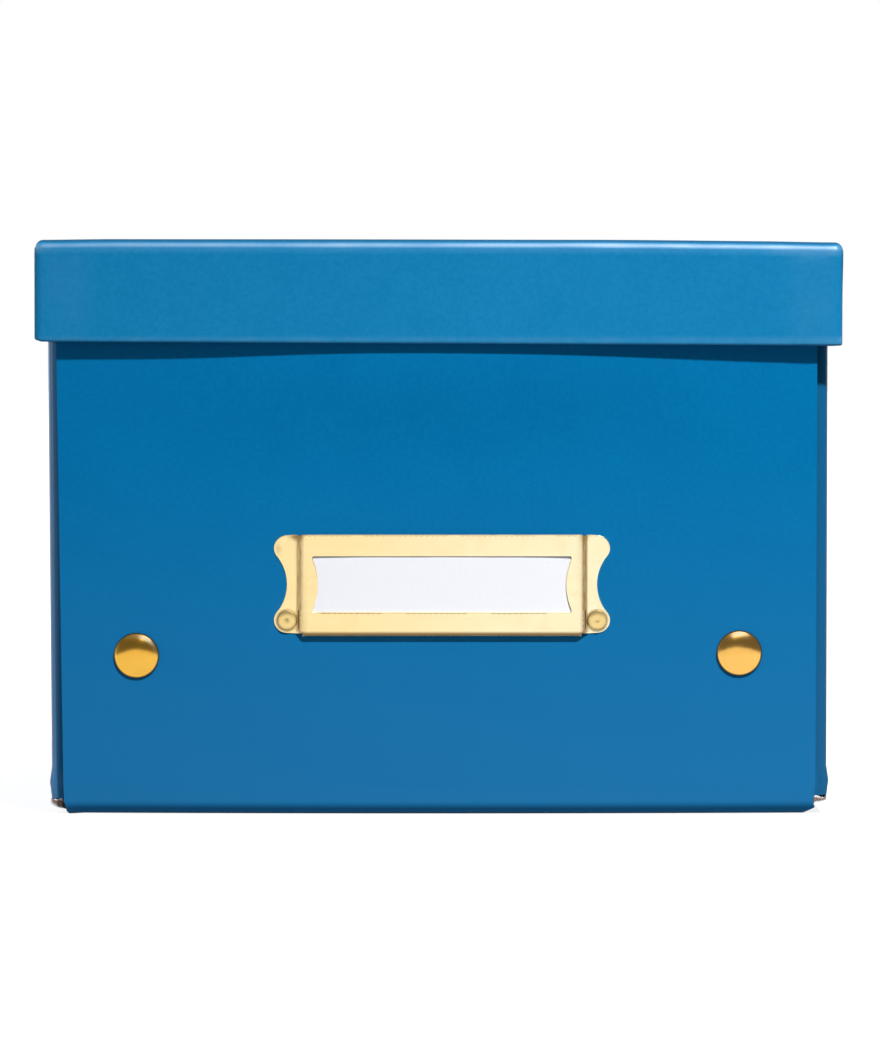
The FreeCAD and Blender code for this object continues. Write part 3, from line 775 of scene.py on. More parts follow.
def rubbed_folds_and_shade(place):
    """How rubbed the print is along the creases at the corners and at the foot, and painted shade on the right
    strips.
    """
    x, y, z = abs(place.x), abs(place.y), place.z
    at_corner = smooth(BASE_Y - 3 * MM, HALF_LENGTH, y) * smooth(101 * MM, 105 * MM, x)
    at_foot = 1 - smooth(0.2 * MM, 2.2 * MM, z)
    at_side = smooth(SIDE_END - 2 * MM, SIDE_END + 2 * MM, y) * smooth(107.5 * MM, HALF_WIDTH, x)
    at_line = spot((z - 3.6 * MM, 0.5 * MM)) * smooth(BASE_Y, HALF_LENGTH, y)
    # Painted shade: the bent strip at each right corner is darkened where the flap shows past the end wall.
    strip = 0.50 * smooth(105.4 * MM, 106.2 * MM, place.x) * smooth(SIDE_END - 5 * MM, SIDE_END, y)
    strip *= seen_past_panel(y)
    return 0.5 * at_corner * at_foot + 0.10 * at_foot + 0.06 * at_line + 0.10 * at_side - strip


def side_gloss(place):
    """The film is polished where the left front corner flap is bent."""
    at_bend = smooth(105.4 * MM, 107.4 * MM, -place.x)
    at_bend *= smooth(SIDE_END - 2.5 * MM, SIDE_END + 0.5 * MM, -place.y)
    return 0.42 * at_bend * seen_past_panel(place.y)


def everywhere(i, j):
    return True


shares = spread(-1, 1, CELLS_ACROSS)
lengths = spread(-SIDE_END, SIDE_END, CELLS_ALONG)
base_xs = [-BASE_X] + [share * panel_edge(math.copysign(1, share), 0) for share in shares] + [BASE_X]
base_ys = [-BASE_Y] + lengths + [BASE_Y]
side_heights = rows_up(FLAP_FOOT, FLAP_TOP, WALL_TOP)
panel_line = wall_line(rows_up(WALL_TOP))
side_line = wall_line(side_heights)
flap_heights = [height for height in side_heights if FLAP_FOOT <= height <= FLAP_TOP]
flap_arc = FLAP_BEND * math.pi / 2
flap_line = spread(0, flap_arc, CELLS_ROUND)
flap_line += spread(flap_arc, flap_arc + FLAP_LENGTH - FLAP_BEND - FLAP_ROUND, 14)[1:]
flap_line += [flap_line[-1] + FLAP_ROUND * math.sin(math.radians(15 * step)) for step in range(1, 7)]


def base_cells(i, j):
    """The base has no board at its four corners."""
    return 0 < i < len(base_xs) - 2 or 0 < j < len(base_ys) - 2


patches = [(base_xs, base_ys, base_rule, base_cells, True)]
for side in (-1, 1):
    patches.append((shares, panel_line, end_rule(side), everywhere, side > 0))
    patches.append((side_line, lengths, side_rule(side), everywhere, side > 0))
    for end in (-1, 1):
        patches.append((flap_heights, flap_line, flap_rule(side, end), everywhere, side * end < 0))
board_piece = folded_board(
    "folded_body_board", patches, BOARD, (board_blue, lining_white, board_cut), rubbed_folds_and_shade, side_gloss
)
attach(board_piece, "box")
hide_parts("body_blank")
print("folded board:", len(board_piece.data.vertices), "points,", len(board_piece.data.polygons), "faces")

# %% [markdown]
# ## The wrapped lid
#
# A lid like this is a tray of grey board. Gummed strips hold its corners, a coloured paper is glued over it,
# turned in under the lower edge and up inside, and a white lining covers the rest. The paper is what shows, so
# it is drawn as the folded board is: a rule, patches and a thickness. Its profile runs from the top over the
# rounded fold, down the skirt, round the lower edge and up inside. The same profile goes all round the lid.

# %% Profile of the wrapped paper
lid_low, lid_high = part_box("lid_cover")
STAY_BUMP = 0.1 * MM
STAY_LEG = 14 * MM
FOLD = 2.6 * MM
PAPER = 0.25 * MM
SKIRT_WALL = 2.3 * MM
FOOT_FOLD = 0.7 * MM
TURN_IN_TOP = lid_low.z + 15 * MM
INSET_X = lid_high.x - FOLD
INSET_Y = lid_high.y - FOLD
FOLD_MIDDLE = lid_high.z - FOLD


def skirt_profile():
    """(out from the inset rectangle, height, and the outward normal as (out, up)) down the paper."""
    line = []
    for step in range(11):
        out, up = math.sin(math.radians(9 * step)), math.cos(math.radians(9 * step))
        line.append((FOLD * out, FOLD_MIDDLE + FOLD * up, out, up))
    foot = lid_low.z + FOOT_FOLD
    for level in spread(FOLD_MIDDLE, foot + 3 * MM, 13)[1:] + spread(foot + 3 * MM, foot, 6)[1:]:
        line.append((FOLD, level, 1.0, 0.0))
    inner = FOLD - SKIRT_WALL
    for step in range(1, 7):
        angle = math.radians(15 * step)
        out = FOLD - FOOT_FOLD * (1 - math.cos(angle))
        line.append((out, foot - FOOT_FOLD * math.sin(angle), math.cos(angle), -math.sin(angle)))
    for step in range(7):
        angle = math.radians(15 * step)
        out = inner + FOOT_FOLD * (1 - math.sin(angle))
        line.append((out, foot - FOOT_FOLD * math.cos(angle), -math.sin(angle), -math.cos(angle)))
    for level in spread(foot, TURN_IN_TOP, 8)[1:]:
        line.append((inner, level, -1.0, 0.0))
    return line


def ring_of(xs, ys, corner_steps):
    """Points round the inset rectangle with the direction each faces, anticlockwise from the front left."""
    ring = []
    sides = (
        ([(x, -INSET_Y) for x in xs], 270), ([(INSET_X, y) for y in ys], 0),
        ([(x, INSET_Y) for x in reversed(xs)], 90), ([(-INSET_X, y) for y in reversed(ys)], 180),
    )
    for places, facing in sides:
        for x, y in places:
            turn = math.radians(facing)
            ring.append((x, y, math.cos(turn), math.sin(turn)))
        for step in range(1, corner_steps):
            turn = math.radians(facing + 90 * step / corner_steps)
            ring.append((places[-1][0], places[-1][1], math.cos(turn), math.sin(turn)))
    return ring


print("profile points down the paper:", len(skirt_profile()))

# %% How the lid sits and where its paper is uneven
def lid_lean(place):
    """Moves a point of the lid as it sits: lower on the right, its edge higher left, front corners drawn in."""
    x, y, z = place
    share = (z - lid_low.z) / (lid_high.z - lid_low.z)
    foot = (-0.40 - 0.56 * x / HALF_LID) * MM
    corner = 0.5 * MM * smooth(-110.5 * MM, -113 * MM, x) * (1 - smooth(0.0, 0.12, share))
    pinch = 0.27 * MM * smooth(100 * MM, HALF_LID, abs(x)) * smooth(-112 * MM, -138 * MM, y)
    pinch *= 1.0 if x < 0 else 1 - smooth(0.4, 1.0, share)
    z += (1 - share) * foot - share * lid_tilt(x) + corner
    return Vector((x - math.copysign(pinch, x), y, z))


def lid_rule(x, y, face_x, face_y, out, level, normal_out, normal_up, depth):
    """Places one point of the paper, so far inside its outer face."""
    reach = out - depth * normal_out
    place = Vector((x + face_x * reach, y + face_y * reach, level - depth * normal_up))
    outside = smooth(0.3, 1.0, normal_out)
    along_wall = max(HALF_LID - abs(place.x), lid_high.y - abs(place.y))
    over_stay = 1 - smooth(STAY_LEG - 0.6 * MM, STAY_LEG + 0.6 * MM, along_wall)
    slow = 0.5 + 0.5 * ripple(place.x * 22, place.y * 22, place.z * 30)
    quick = 0.5 + 0.5 * ripple(place.x * 70, place.y * 70, place.z * 120)
    on_fold = math.sin(math.pi * min(1.0, max(0.0, normal_up))) if normal_out > 0.02 else 0.0
    sink = outside * (STAY_BUMP * (1 - over_stay) + 0.10 * MM * slow) + on_fold * 0.10 * MM * (quick + slow)
    if place.y < -INSET_Y:
        sink += 0.09 * MM * spot((place.x - 104 * MM, 7 * MM), (place.z - lid_high.z + 3.4 * MM, 1.4 * MM))
    place.x -= face_x * sink
    place.y -= face_y * sink
    if normal_up > 0:
        roof = smooth(0.7, 1.0, normal_up) * 0.14 * MM * (0.5 + 0.5 * ripple(x * 16, y * 16, 2.0))
        place.z -= roof + on_fold * 0.05 * MM * quick
    return lid_lean(place)


def below_top(place):
    """A point's height measured from the lid's tilted top, below 0 on the skirts."""
    return place.z + lid_tilt(place.x) - lid_high.z


def lid_wear_and_light(place):
    """Where the lid's paper is paler (above 0): rubbed at its foot, its fold and one nick, over the stays, with
    painted highlights along the fold and at the front mitres; and darker (below 0): painted shade at its side
    edges and top.
    """
    level = below_top(place)
    x, y = abs(place.x), abs(place.y)
    front = smooth(-INSET_Y, -INSET_Y - 1.5 * MM, place.y)
    at_foot = 1 - smooth(lid_low.z + 0.6 * MM, lid_low.z + 2.2 * MM, place.z)
    # Along the fold the paleness is partly wear and partly a painted highlight.
    fold = smooth(-3.0 * MM, -2.0 * MM, level) * smooth(-0.9 * MM, -1.6 * MM, level)
    edge = max(smooth(INSET_Y - 0.4 * MM, INSET_Y + 1.0 * MM, y), smooth(INSET_X, HALF_LID, x))
    # Painted highlight at each front mitre.
    mitre = spot((x - 111.2 * MM, 1.3 * MM), (level + 1.9 * MM, 0.9 * MM))
    nick = spot((place.x - 112.3 * MM, 0.5 * MM), (place.z - 132.6 * MM, 1.0 * MM))
    stay = smooth(HALF_LID - 16 * MM, HALF_LID - 13 * MM, x)
    stay *= 1 - smooth(HALF_LID - 4 * MM, HALF_LID - 1 * MM, x)
    stay *= smooth(-2 * MM, -6 * MM, level)
    pale = 0.36 * at_foot + 0.22 * fold * edge + (0.9 * mitre + 1.2 * nick + 0.12 * stay) * front
    # Painted shade: the front's side edges, which turn away from the light, and the top of the fold all round.
    turned_away = smooth(HALF_LID - 0.75 * MM, HALF_LID - 0.25 * MM, x) * front
    at_rim = max(smooth(INSET_Y - 1 * MM, INSET_Y, y), smooth(INSET_X - 1 * MM, INSET_X, x))
    over_top = smooth(-1.05 * MM, -0.5 * MM, level) * at_rim
    return min(1.0, pale) * (1 - turned_away) - 0.75 * turned_away - 0.65 * over_top


def lid_gloss(place):
    """Where the film is polished: along the fold round the top, and lower at its right front corner."""
    level = below_top(place)
    from_edge = min(HALF_LID - abs(place.x), lid_high.y - abs(place.y))
    lower = 2.6 * MM * smooth(90 * MM, 104 * MM, place.x) * smooth(112.5 * MM, 106 * MM, place.x)
    band = 0.10 + 0.95 * smooth(-0.7 * MM, -2.0 * MM, level)
    fade = smooth(-3.1 * MM - lower, -1.9 * MM, level) * (1 - smooth(2 * MM, 5 * MM, from_edge))
    uneven = 0.9 + 0.4 * ripple(place.x * 45, place.y * 45, 6.0)
    uneven += 0.3 * ripple(place.x * 130, place.y * 130, 9.0)
    return min(1.0, band * fade * uneven)


print("lid leans by", round(lid_tilt(HALF_LID) / MM, 2), "mm at its right")

# %% The paper over the lid
lid_xs = spread(-INSET_X, INSET_X, 72)
lid_ys = spread(-INSET_Y, INSET_Y, 80)
profile = skirt_profile()
ring = ring_of(lid_xs, lid_ys, 8)


def paper_roof(x, y, depth):
    return lid_rule(x, y, 0.0, 0.0, 0.0, lid_high.z, 0.0, 1.0, depth)


def paper_skirt(station, stop, depth):
    x, y, face_x, face_y = ring[station % len(ring)]
    return lid_rule(x, y, face_x, face_y, *profile[stop], depth)


stations = list(range(len(ring) + 1))
stops = list(range(len(profile)))
lid_paper = folded_board(
    "wrapped_lid_paper",
    [(lid_xs, lid_ys, paper_roof, everywhere, False), (stations, stops, paper_skirt, everywhere, True)],
    PAPER, (cover_blue, plain_paper("paper_back", PAPER_WHITE, PAPER_GREY), board_cut), lid_wear_and_light, lid_gloss,
)
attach(lid_paper, "lid")
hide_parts("lid_cover")
print("lid paper:", len(lid_paper.data.polygons), "faces")

# %% [markdown]
# The board, the stays and the lining under the paper have the right shape in the frame, but the frame's lid
# sits dead level. Copies of them take the same lean as the paper. Their long edges are cut first, because a
# bent rule can only move the points that a mesh has.

# %% Leaning copies of the lid's other layers
import bmesh

LONGEST_EDGE = 24 * MM


def leaning_copy(node, name, finish):
    """A merged copy of a frame piece that leans as the lid does."""
    work = bmesh.new()
    work.from_mesh(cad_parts[node].data)
    bmesh.ops.remove_doubles(work, verts=work.verts, dist=0.0005 * MM)
    for _ in range(4):
        long_ones = [edge for edge in work.edges if edge.calc_length() > LONGEST_EDGE]
        if not long_ones:
            break
        bmesh.ops.subdivide_edges(work, edges=long_ones, cuts=1)
        bmesh.ops.triangulate(work, faces=[face for face in work.faces if len(face.verts) > 3])
    for point in work.verts:
        point.co = lid_lean(point.co)
    data = bpy.data.meshes.new(name)
    work.to_mesh(data)
    work.free()
    data.materials.clear()
    data.materials.append(finish)
    data.polygons.foreach_set("material_index", [0] * len(data.polygons))
    made = bpy.data.objects.new(name, data)
    bpy.context.scene.collection.objects.link(made)
    shade_smooth(made)
    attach(made, "lid")
    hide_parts(node)
    return made


leaning_copy("lid_board", "settled_lid_board", grey_board)
leaning_copy("lid_corner_stays", "settled_lid_stays", stay_brown)
leaning_copy("lid_lining", "settled_lid_lining", lining_white)
print("lid layers: 4")

# %% [markdown]
# ## Turned brass: caps and rivets
#
# The caps and the rivets are round and come in pairs, front and back. A turned piece is a profile swung round
# an axis, and Geometry Nodes set the pair in a row: one tree with named inputs serves them all, so a change
# to the spacing is a change to one number. Each result is turned into a plain mesh.

# %% A turned piece
def turned(name, profile, steps=64):
    """Swings (radius, out) points in mm round an axis through the origin. Out of the wall is -Y."""
    points, faces, rings = [], [], []
    for radius, out in profile:
        if radius < 1e-6:
            rings.append([len(points)] * steps)
            points.append((0, -out * MM, 0))
            continue
        rings.append(list(range(len(points), len(points) + steps)))
        for step in range(steps):
            turn = 2 * math.pi * step / steps
            points.append((radius * MM * math.cos(turn), -out * MM, radius * MM * math.sin(turn)))
    for first, second in zip(rings, rings[1:]):
        for step in range(steps):
            beside = (step + 1) % steps
            loop = []
            for index in (first[step], second[step], second[beside], first[beside]):
                if index not in loop:
                    loop.append(index)
            if len(loop) > 2:
                faces.append(tuple(loop))
    return own_mesh(name, points, faces)


def arc(middle_radius, middle_out, radius, start, end, steps):
    """Points of a profile round a middle, with angles in degrees from straight outwards."""
    angles = spread(math.radians(start), math.radians(end), steps)
    return [(middle_radius + radius * math.sin(a), middle_out + radius * math.cos(a)) for a in angles]


CAP_RADIUS, CAP_RIM, CAP_HEIGHT = 6.35, 0.32, 2.2
dome_sag = CAP_HEIGHT - 1.83 * CAP_RIM
dome_reach = CAP_RADIUS - 0.8 * CAP_RIM
dome_radius = (dome_reach ** 2 + dome_sag ** 2) / (2 * dome_sag)
dome_edge = math.degrees(math.asin(dome_reach / dome_radius))
cap_profile = arc(0, CAP_HEIGHT - dome_radius, dome_radius, 0, dome_edge, 22)
cap_profile += arc(CAP_RADIUS - CAP_RIM, CAP_RIM, CAP_RIM, 30, 180, 12)
cap_profile += [(1.8, 0.0), (1.8, -1.85), (2.6, -1.85), (2.42, -2.35), (1.45, -2.35), (1.45, 0.45), (0.0, 0.45)]

RIVET_RADIUS, RIVET_ROUND, RIVET_TOP = 2.75, 0.5, 1.28
rivet_profile = [(0.0, RIVET_TOP - 0.16), (0.3, RIVET_TOP - 0.14), (0.55, RIVET_TOP - 0.04)]
rivet_profile += [(0.8, RIVET_TOP), (1.3, RIVET_TOP), (1.8, RIVET_TOP - 0.04)]
rivet_profile += arc(RIVET_RADIUS - RIVET_ROUND, RIVET_TOP - 0.06 - RIVET_ROUND, RIVET_ROUND, 4, 90, 8)
rivet_profile += [(2.75, 0.45), (1.5, 0.45), (1.5, -2.0), (2.5, -2.0), (2.4, -2.35), (1.75, -2.7), (1.0, -2.6)]
rivet_profile += [(1.0, -0.75), (0.0, -0.75)]
print("dome slope at its edge in degrees:", round(dome_edge, 1))

# %% A row of turned pieces
def row_tree():
    """Sets copies of a piece in a row: named inputs for how many, where, how far apart and turned how."""
    tree = bpy.data.node_groups.new("row_of_pieces", "GeometryNodeTree")
    face = tree.interface
    face.new_socket("Piece", in_out="INPUT", socket_type="NodeSocketGeometry")
    face.new_socket("Row", in_out="OUTPUT", socket_type="NodeSocketGeometry")
    for label, kind in (("Count", "Int"), ("First Place", "Vector"), ("Step", "Vector"), ("Turn", "Vector")):
        face.new_socket(label, in_out="INPUT", socket_type="NodeSocket" + kind)
    face.new_socket("Finish", in_out="INPUT", socket_type="NodeSocketMaterial")
    kinds = {
        "given": "NodeGroupInput", "line": "GeometryNodeMeshLine", "turn": "FunctionNodeEulerToRotation",
        "copies": "GeometryNodeInstanceOnPoints", "real": "GeometryNodeRealizeInstances",
        "finish": "GeometryNodeSetMaterial", "result": "NodeGroupOutput",
    }
    nodes = {label: tree.nodes.new(kind) for label, kind in kinds.items()}
    wires = (
        ("given", "Count", "line", "Count"), ("given", "First Place", "line", "Start Location"),
        ("given", "Step", "line", "Offset"), ("given", "Turn", "turn", "Euler"),
        ("line", "Mesh", "copies", "Points"), ("given", "Piece", "copies", "Instance"),
        ("turn", "Rotation", "copies", "Rotation"), ("copies", "Instances", "real", "Geometry"),
        ("real", "Geometry", "finish", "Geometry"), ("given", "Finish", "finish", "Material"),
        ("finish", "Geometry", "result", "Row"),
    )
    for source, output, target, socket in wires:
        tree.links.new(nodes[source].outputs[output], nodes[target].inputs[socket])
    return tree


ROW = row_tree()


def in_a_row(piece, count, first, step, turn, finish):
    """Runs the tree on a piece and keeps the result as its plain mesh."""
    modifier = piece.modifiers.new("row", "NODES")
    modifier.node_group = ROW
    given = {"Count": count, "First Place": first, "Step": step, "Turn": turn, "Finish": finish}
    for item in ROW.interface.items_tree:
        if item.name in given:
            modifier[item.identifier] = given[item.name]
    settled = piece.evaluated_get(bpy.context.evaluated_depsgraph_get())
    result = bpy.data.meshes.new_from_object(settled)
    piece.modifiers.remove(modifier)
    result.name = piece.data.name
    piece.data = result
    shade_smooth(piece)
    return piece


def pair(name, profile, node, half_gap, middle_x, level, face, finish, climb=0.0):
    """Two turned pieces side by side on the front (-1) or the back (1) wall, the right one higher by climb."""
    turn = (0.0, 0.0, math.pi if face > 0 else 0.0)
    first = (middle_x - half_gap, face * HALF_LENGTH, level - climb / 2)
    made = in_a_row(turned(name, profile), 2, first, (2 * half_gap, 0.0, climb), turn, finish)
    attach(made, "box")
    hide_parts(node)
    return made


STUD_X, STUD_HALF_GAP, STUD_LEVEL, STUD_CLIMB = -0.15 * MM, 84.2 * MM, 44.75 * MM, 0.7 * MM
HOLDER_X, HOLDER_LEVEL = 1.0 * MM, 64.4 * MM
RIVET_HALF_GAP, RIVET_LEVEL = 43.35 * MM, 54.35 * MM


def cap_dirt_shade_and_highlight(place, climb):
    """Darkens a cap's outer rim, dirt and painted contact shade, and paints a pale highlight crescent high on
    its dome.
    """
    side = math.copysign(1, place.x)
    x = (place.x - STUD_X - side * STUD_HALF_GAP) / MM
    z = (place.z - STUD_LEVEL - side * climb / 2) / MM
    reach = math.hypot(x, z)
    middle, spans = (34, 32) if side < 0 else (-1, 22)
    crescent = spot((reach - 5.5, 0.6), (math.degrees(math.atan2(x, z)) - middle, spans))
    # The crescents sit where each cap mirrors the soft lamp, so they are painted highlights.
    return smooth(5.98, 6.15, reach) - 0.9 * crescent * (1 - smooth(5.8, 6.1, reach))


caps = []
for face, label in ((-1, "front"), (1, "back")):
    climb = STUD_CLIMB if face < 0 else 0.0
    caps.append(pair(
        label + "_domed_caps", cap_profile, label + "_stud_caps", STUD_HALF_GAP, STUD_X, STUD_LEVEL, face,
        cap_brass, climb
    ))
    store(caps[-1], "stain_and_painted_light", [cap_dirt_shade_and_highlight(point.co, climb) for point in caps[-1].data.vertices])
rivets = pair(
    "holder_rivets", rivet_profile, "label_rivets", RIVET_HALF_GAP, HOLDER_X, RIVET_LEVEL, -1, rivet_brass
)


def rivet_grime_and_shade(place):
    """Dirt in a rivet's groove and in the dimple of the left one, with painted shade darker on their upper
    side.
    """
    side = math.copysign(1, place.x - HOLDER_X)
    x = (place.x - HOLDER_X - side * RIVET_HALF_GAP) / MM
    z = (place.z - RIVET_LEVEL) / MM
    reach = math.hypot(x, z)
    # Painted shade: the groove and the head are darker above their middle.
    above = smooth(-1.5, 2.2, z - 0.35 * x)
    ring = spot((reach - 2.5, 0.25)) * (0.35 + 0.65 * above)
    crescent = spot((reach - 1.9, 0.4)) * 0.7 * above * smooth(0.2, 2.0, z)
    dimple = spot((reach, 0.55)) * (0.75 if side < 0 else 0.12)
    return min(1.0, ring + crescent + dimple)


store(rivets, "stain_and_painted_light", [rivet_grime_and_shade(point.co) for point in rivets.data.vertices])
print("turned pairs: 3")

# %% [markdown]
# ## The label holder
#
# The holder is one stamping: a strip of brass with scalloped ends, a window with bulging ends, and a lower edge
# folded back as a shelf for the card. Its outline is drawn flat, triangulated, and then bent by a rule that
# gives the step beside the frame and the fold below. The rim is drawn in two steps so that its edge is rounded
# and catches the light, as a tumbled stamping does.

# %% Flat outline of the holder
SHEET = 0.29
HALF_HIGH = 13.8
LOBE_X, LOBE_Z, LOBE_R = 43.35, 10.05, 3.6
WAIST_R = (LOBE_Z ** 2 - LOBE_R ** 2) / (2 * LOBE_R)
FRAME_HALF = 39.0
JOGGLE_START, JOGGLE_RUN = 38.75, 2.1
LIP_BEND = 0.8
LIP_RUN = LIP_BEND * math.pi / 2 + 0.3
POCKET = 1.26


def round_points(x, z, radius, start, end, steps):
    """Points on a circle between two angles in degrees."""
    return [
        (x + radius * math.cos(math.radians(a)), z + radius * math.sin(math.radians(a)))
        for a in spread(start, end, steps)
    ]


def right_half():
    """Outline of the right half from the top's notch down to the lip."""
    leave = math.degrees(math.atan2(-LOBE_Z, WAIST_R))
    notch = ((39.3, 0.0), (39.7, 0.35), (39.95, 0.45), (40.2, 0.35), (40.6, 0.0))
    line = [(x, HALF_HIGH - deep) for x, deep in notch]
    line += round_points(LOBE_X, LOBE_Z, LOBE_R, 90, leave, 18)
    line += round_points(LOBE_X + WAIST_R, 0, WAIST_R, 180 + leave, 180 - leave, 18)[1:-1]
    line += round_points(LOBE_X, -LOBE_Z, LOBE_R, -leave, -90, 18)
    line += [(x, -HALF_HIGH) for x in (41.0, 39.6, FRAME_HALF)]
    return line + [(FRAME_HALF, -HALF_HIGH - LIP_RUN + 0.3), (FRAME_HALF - 0.3, -HALF_HIGH - LIP_RUN)]


def mirrored_across(line):
    return [(-x, z) for x, z in reversed(line)]


def densified(loop, longest):
    """Adds points so that no side of a loop is longer than longest."""
    dense = []
    for (ax, az), (bx, bz) in zip(loop, loop[1:] + loop[:1]):
        count = max(1, math.ceil(math.hypot(bx - ax, bz - az) / longest))
        dense += [(ax + (bx - ax) * i / count, az + (bz - az) * i / count) for i in range(count)]
    return dense


WINDOW_HALF, WINDOW_HIGH, WINDOW_LOW, WINDOW_BULGE = 36.4, 7.75, -7.8, 1.75
window_sag = (WINDOW_HIGH - WINDOW_LOW) / 2
window_end_r = (window_sag ** 2 + WINDOW_BULGE ** 2) / (2 * WINDOW_BULGE)
end_angle = math.degrees(math.asin(window_sag / window_end_r))
window_middle = (WINDOW_HIGH + WINDOW_LOW) / 2
end_x = WINDOW_HALF - WINDOW_BULGE + window_end_r
right_end = round_points(end_x, window_middle, window_end_r, 180 - end_angle, 180 + end_angle, 20)
right_end = [(WINDOW_HALF - 0.75, WINDOW_HIGH), (WINDOW_HALF - 0.3, WINDOW_HIGH - 0.12)] + right_end[1:-1]
right_end += [(WINDOW_HALF - 0.3, WINDOW_LOW + 0.12), (WINDOW_HALF - 0.75, WINDOW_LOW)]
window = right_end + mirrored_across(right_end)
slit = [(40.0, -12.6), (40.22, -12.6), (40.22, -7.6), (40.18, -7.4), (40.04, -7.4), (40.0, -7.6)]
rivet_hole = round_points(LOBE_X, -LOBE_Z, 1.55, 0, 345, 23)
outline = densified(right_half() + mirrored_across(right_half()), 1.6)
holes = [densified(window, 1.6)]
for hole in (slit, rivet_hole):
    holes += [densified(hole, 1.0), densified(mirrored_across(hole), 1.0)]
print("outline points:", len(outline), "holes:", len(holes))

# %% The rule that bends it
def holder_out(x):
    """How far the outer face stands from the wall at a place along the strip, and the slope there."""
    share = (abs(x) - JOGGLE_START) / JOGGLE_RUN
    level = SHEET + POCKET * (1 - smooth(0, 1, share))
    slope = -POCKET * 6 * share * (1 - share) / JOGGLE_RUN if 0 < share < 1 else 0.0
    return level, slope * (1 if x > 0 else -1)


def from_rivet(x, z):
    """How far a flat point lies from the middle of the rivet on its side."""
    return math.hypot(abs(x) - LOBE_X, z + LOBE_Z)


def holder_rule(x, z, depth):
    """Bends a flat point: the step at each end of the frame, the fold at the foot, pressed dents."""
    level, slope = holder_out(x)
    length = math.hypot(1, slope)
    run = max(0.0, -HALF_HIGH - z) if abs(x) <= FRAME_HALF + 0.01 else 0.0
    if run > 0:
        angle = min(run / LIP_BEND, math.pi / 2)
        beyond = max(0.0, run - LIP_BEND * math.pi / 2)
        radius = LIP_BEND - depth
        out = SHEET + POCKET - LIP_BEND + radius * math.cos(angle) - beyond
        low = -HALF_HIGH - radius * math.sin(angle)
        return Vector((HOLDER_X + x * MM, -HALF_LENGTH - out * MM, HOLDER_LEVEL + low * MM))
    wave = 0.05 * ripple(x * 0.09, z * 0.16, 1.0) + 0.012 * ripple(x * 0.7, z * 0.7, 4.0)
    wave *= 1 - smooth(37.5, 39, abs(x))
    dish = 0.10 * spot((from_rivet(x, z) - 2.9, 0.35))
    out = level - depth / length + wave - (dish if depth < SHEET / 2 else 0.0)
    across = x + depth * slope / length
    return Vector((HOLDER_X + across * MM, -HALF_LENGTH - out * MM, HOLDER_LEVEL + z * MM))


def inset(loop, amount):
    """Moves a loop that runs with its metal on the left inwards by an amount."""
    moved = []
    for (ax, az), (x, z), (bx, bz) in zip(loop[-1:] + loop[:-1], loop, loop[1:] + loop[:1]):
        dx, dz = bx - ax, bz - az
        length = math.hypot(dx, dz) or 1.0
        moved.append((x - dz / length * amount, z + dx / length * amount))
    return moved


def signed_area(loop):
    return sum(ax * bz - bx * az for (ax, az), (bx, bz) in zip(loop, loop[1:] + loop[:1])) / 2


def inside_loop(x, z, loop):
    """Whether a point lies inside a loop."""
    within = False
    for (ax, az), (bx, bz) in zip(loop, loop[1:] + loop[:1]):
        if (az > z) != (bz > z) and x < ax + (bx - ax) * (z - az) / (bz - az):
            within = not within
    return within


def on_metal(x, z, loops):
    """Whether a point lies inside the first loop and in none of the others."""
    return inside_loop(x, z, loops[0]) and not any(inside_loop(x, z, hole) for hole in loops[1:])


outline = outline if signed_area(outline) > 0 else outline[::-1]
holes = [hole[::-1] if signed_area(hole) > 0 else hole for hole in holes]
print("metal in square mm:", round(signed_area(outline) + sum(signed_area(hole) for hole in holes)))

# %% From the outline to bent brass
def stamped_sheet(name, loops, edges, rule, thickness, inner_points):
    """A closed sheet from flat loops, its outline and then its holes; edges are the widths of their rims."""
    points, faces, layers = [], [], []
    # Front face, its rounded rim, where the rim ends, the back face
    for across, down, through in ((1.0, 0.0, 0.0), (0.3, 0.3, 0.0), (0.0, 1.0, 0.0), (0.0, 0.0, thickness)):
        layer = []
        for loop, edge in zip(loops, edges):
            start = len(points)
            points += [rule(x, z, edge * down + through) for x, z in inset(loop, edge * across)]
            layer.append(list(range(start, start + len(loop))))
        layers.append(layer)
    for upper, lower in zip(layers, layers[1:]):
        for first, second in zip(upper, lower):
            for i in range(len(first)):
                j = (i + 1) % len(first)
                faces.append((first[i], second[i], second[j], first[j]))
    for layer, depth, across, front in ((layers[0], 0.0, 1.0, True), (layers[3], thickness, 0.0, False)):
        flat_loops = [inset(loop, edge * across) for loop, edge in zip(loops, edges)]
        flat = [Vector(point) for loop in flat_loops for point in loop]
        flat_index = [index for loop in layer for index in loop]
        sides, start = [], 0
        for loop in flat_loops:
            sides += [(start + i, start + (i + 1) % len(loop)) for i in range(len(loop))]
            start += len(loop)
        beside_rims = [point for loop, edge in zip(loops, edges) for point in inset(loop, edge + 0.16)]
        for x, z in beside_rims + inner_points:
            if on_metal(x, z, flat_loops):
                flat.append(Vector((x, z)))
                flat_index.append(len(points))
                points.append(rule(x, z, depth))
        spots, _, triangles, origins, *_ = geometry.delaunay_2d_cdt(flat, sides, [], 0, 1e-7)
        index_of = [flat_index[origin[0]] for origin in origins]
        for triangle in triangles:
            x = sum(spots[i].x for i in triangle) / 3
            z = sum(spots[i].y for i in triangle) / 3
            if not on_metal(x, z, flat_loops):
                continue
            a, b, c = (spots[i] for i in triangle)
            turns_left = (b - a).cross(c - a) > 0
            loop = [index_of[i] for i in triangle]
            faces.append(tuple(loop if turns_left == front else reversed(loop)))
    return own_mesh(name, points, faces)


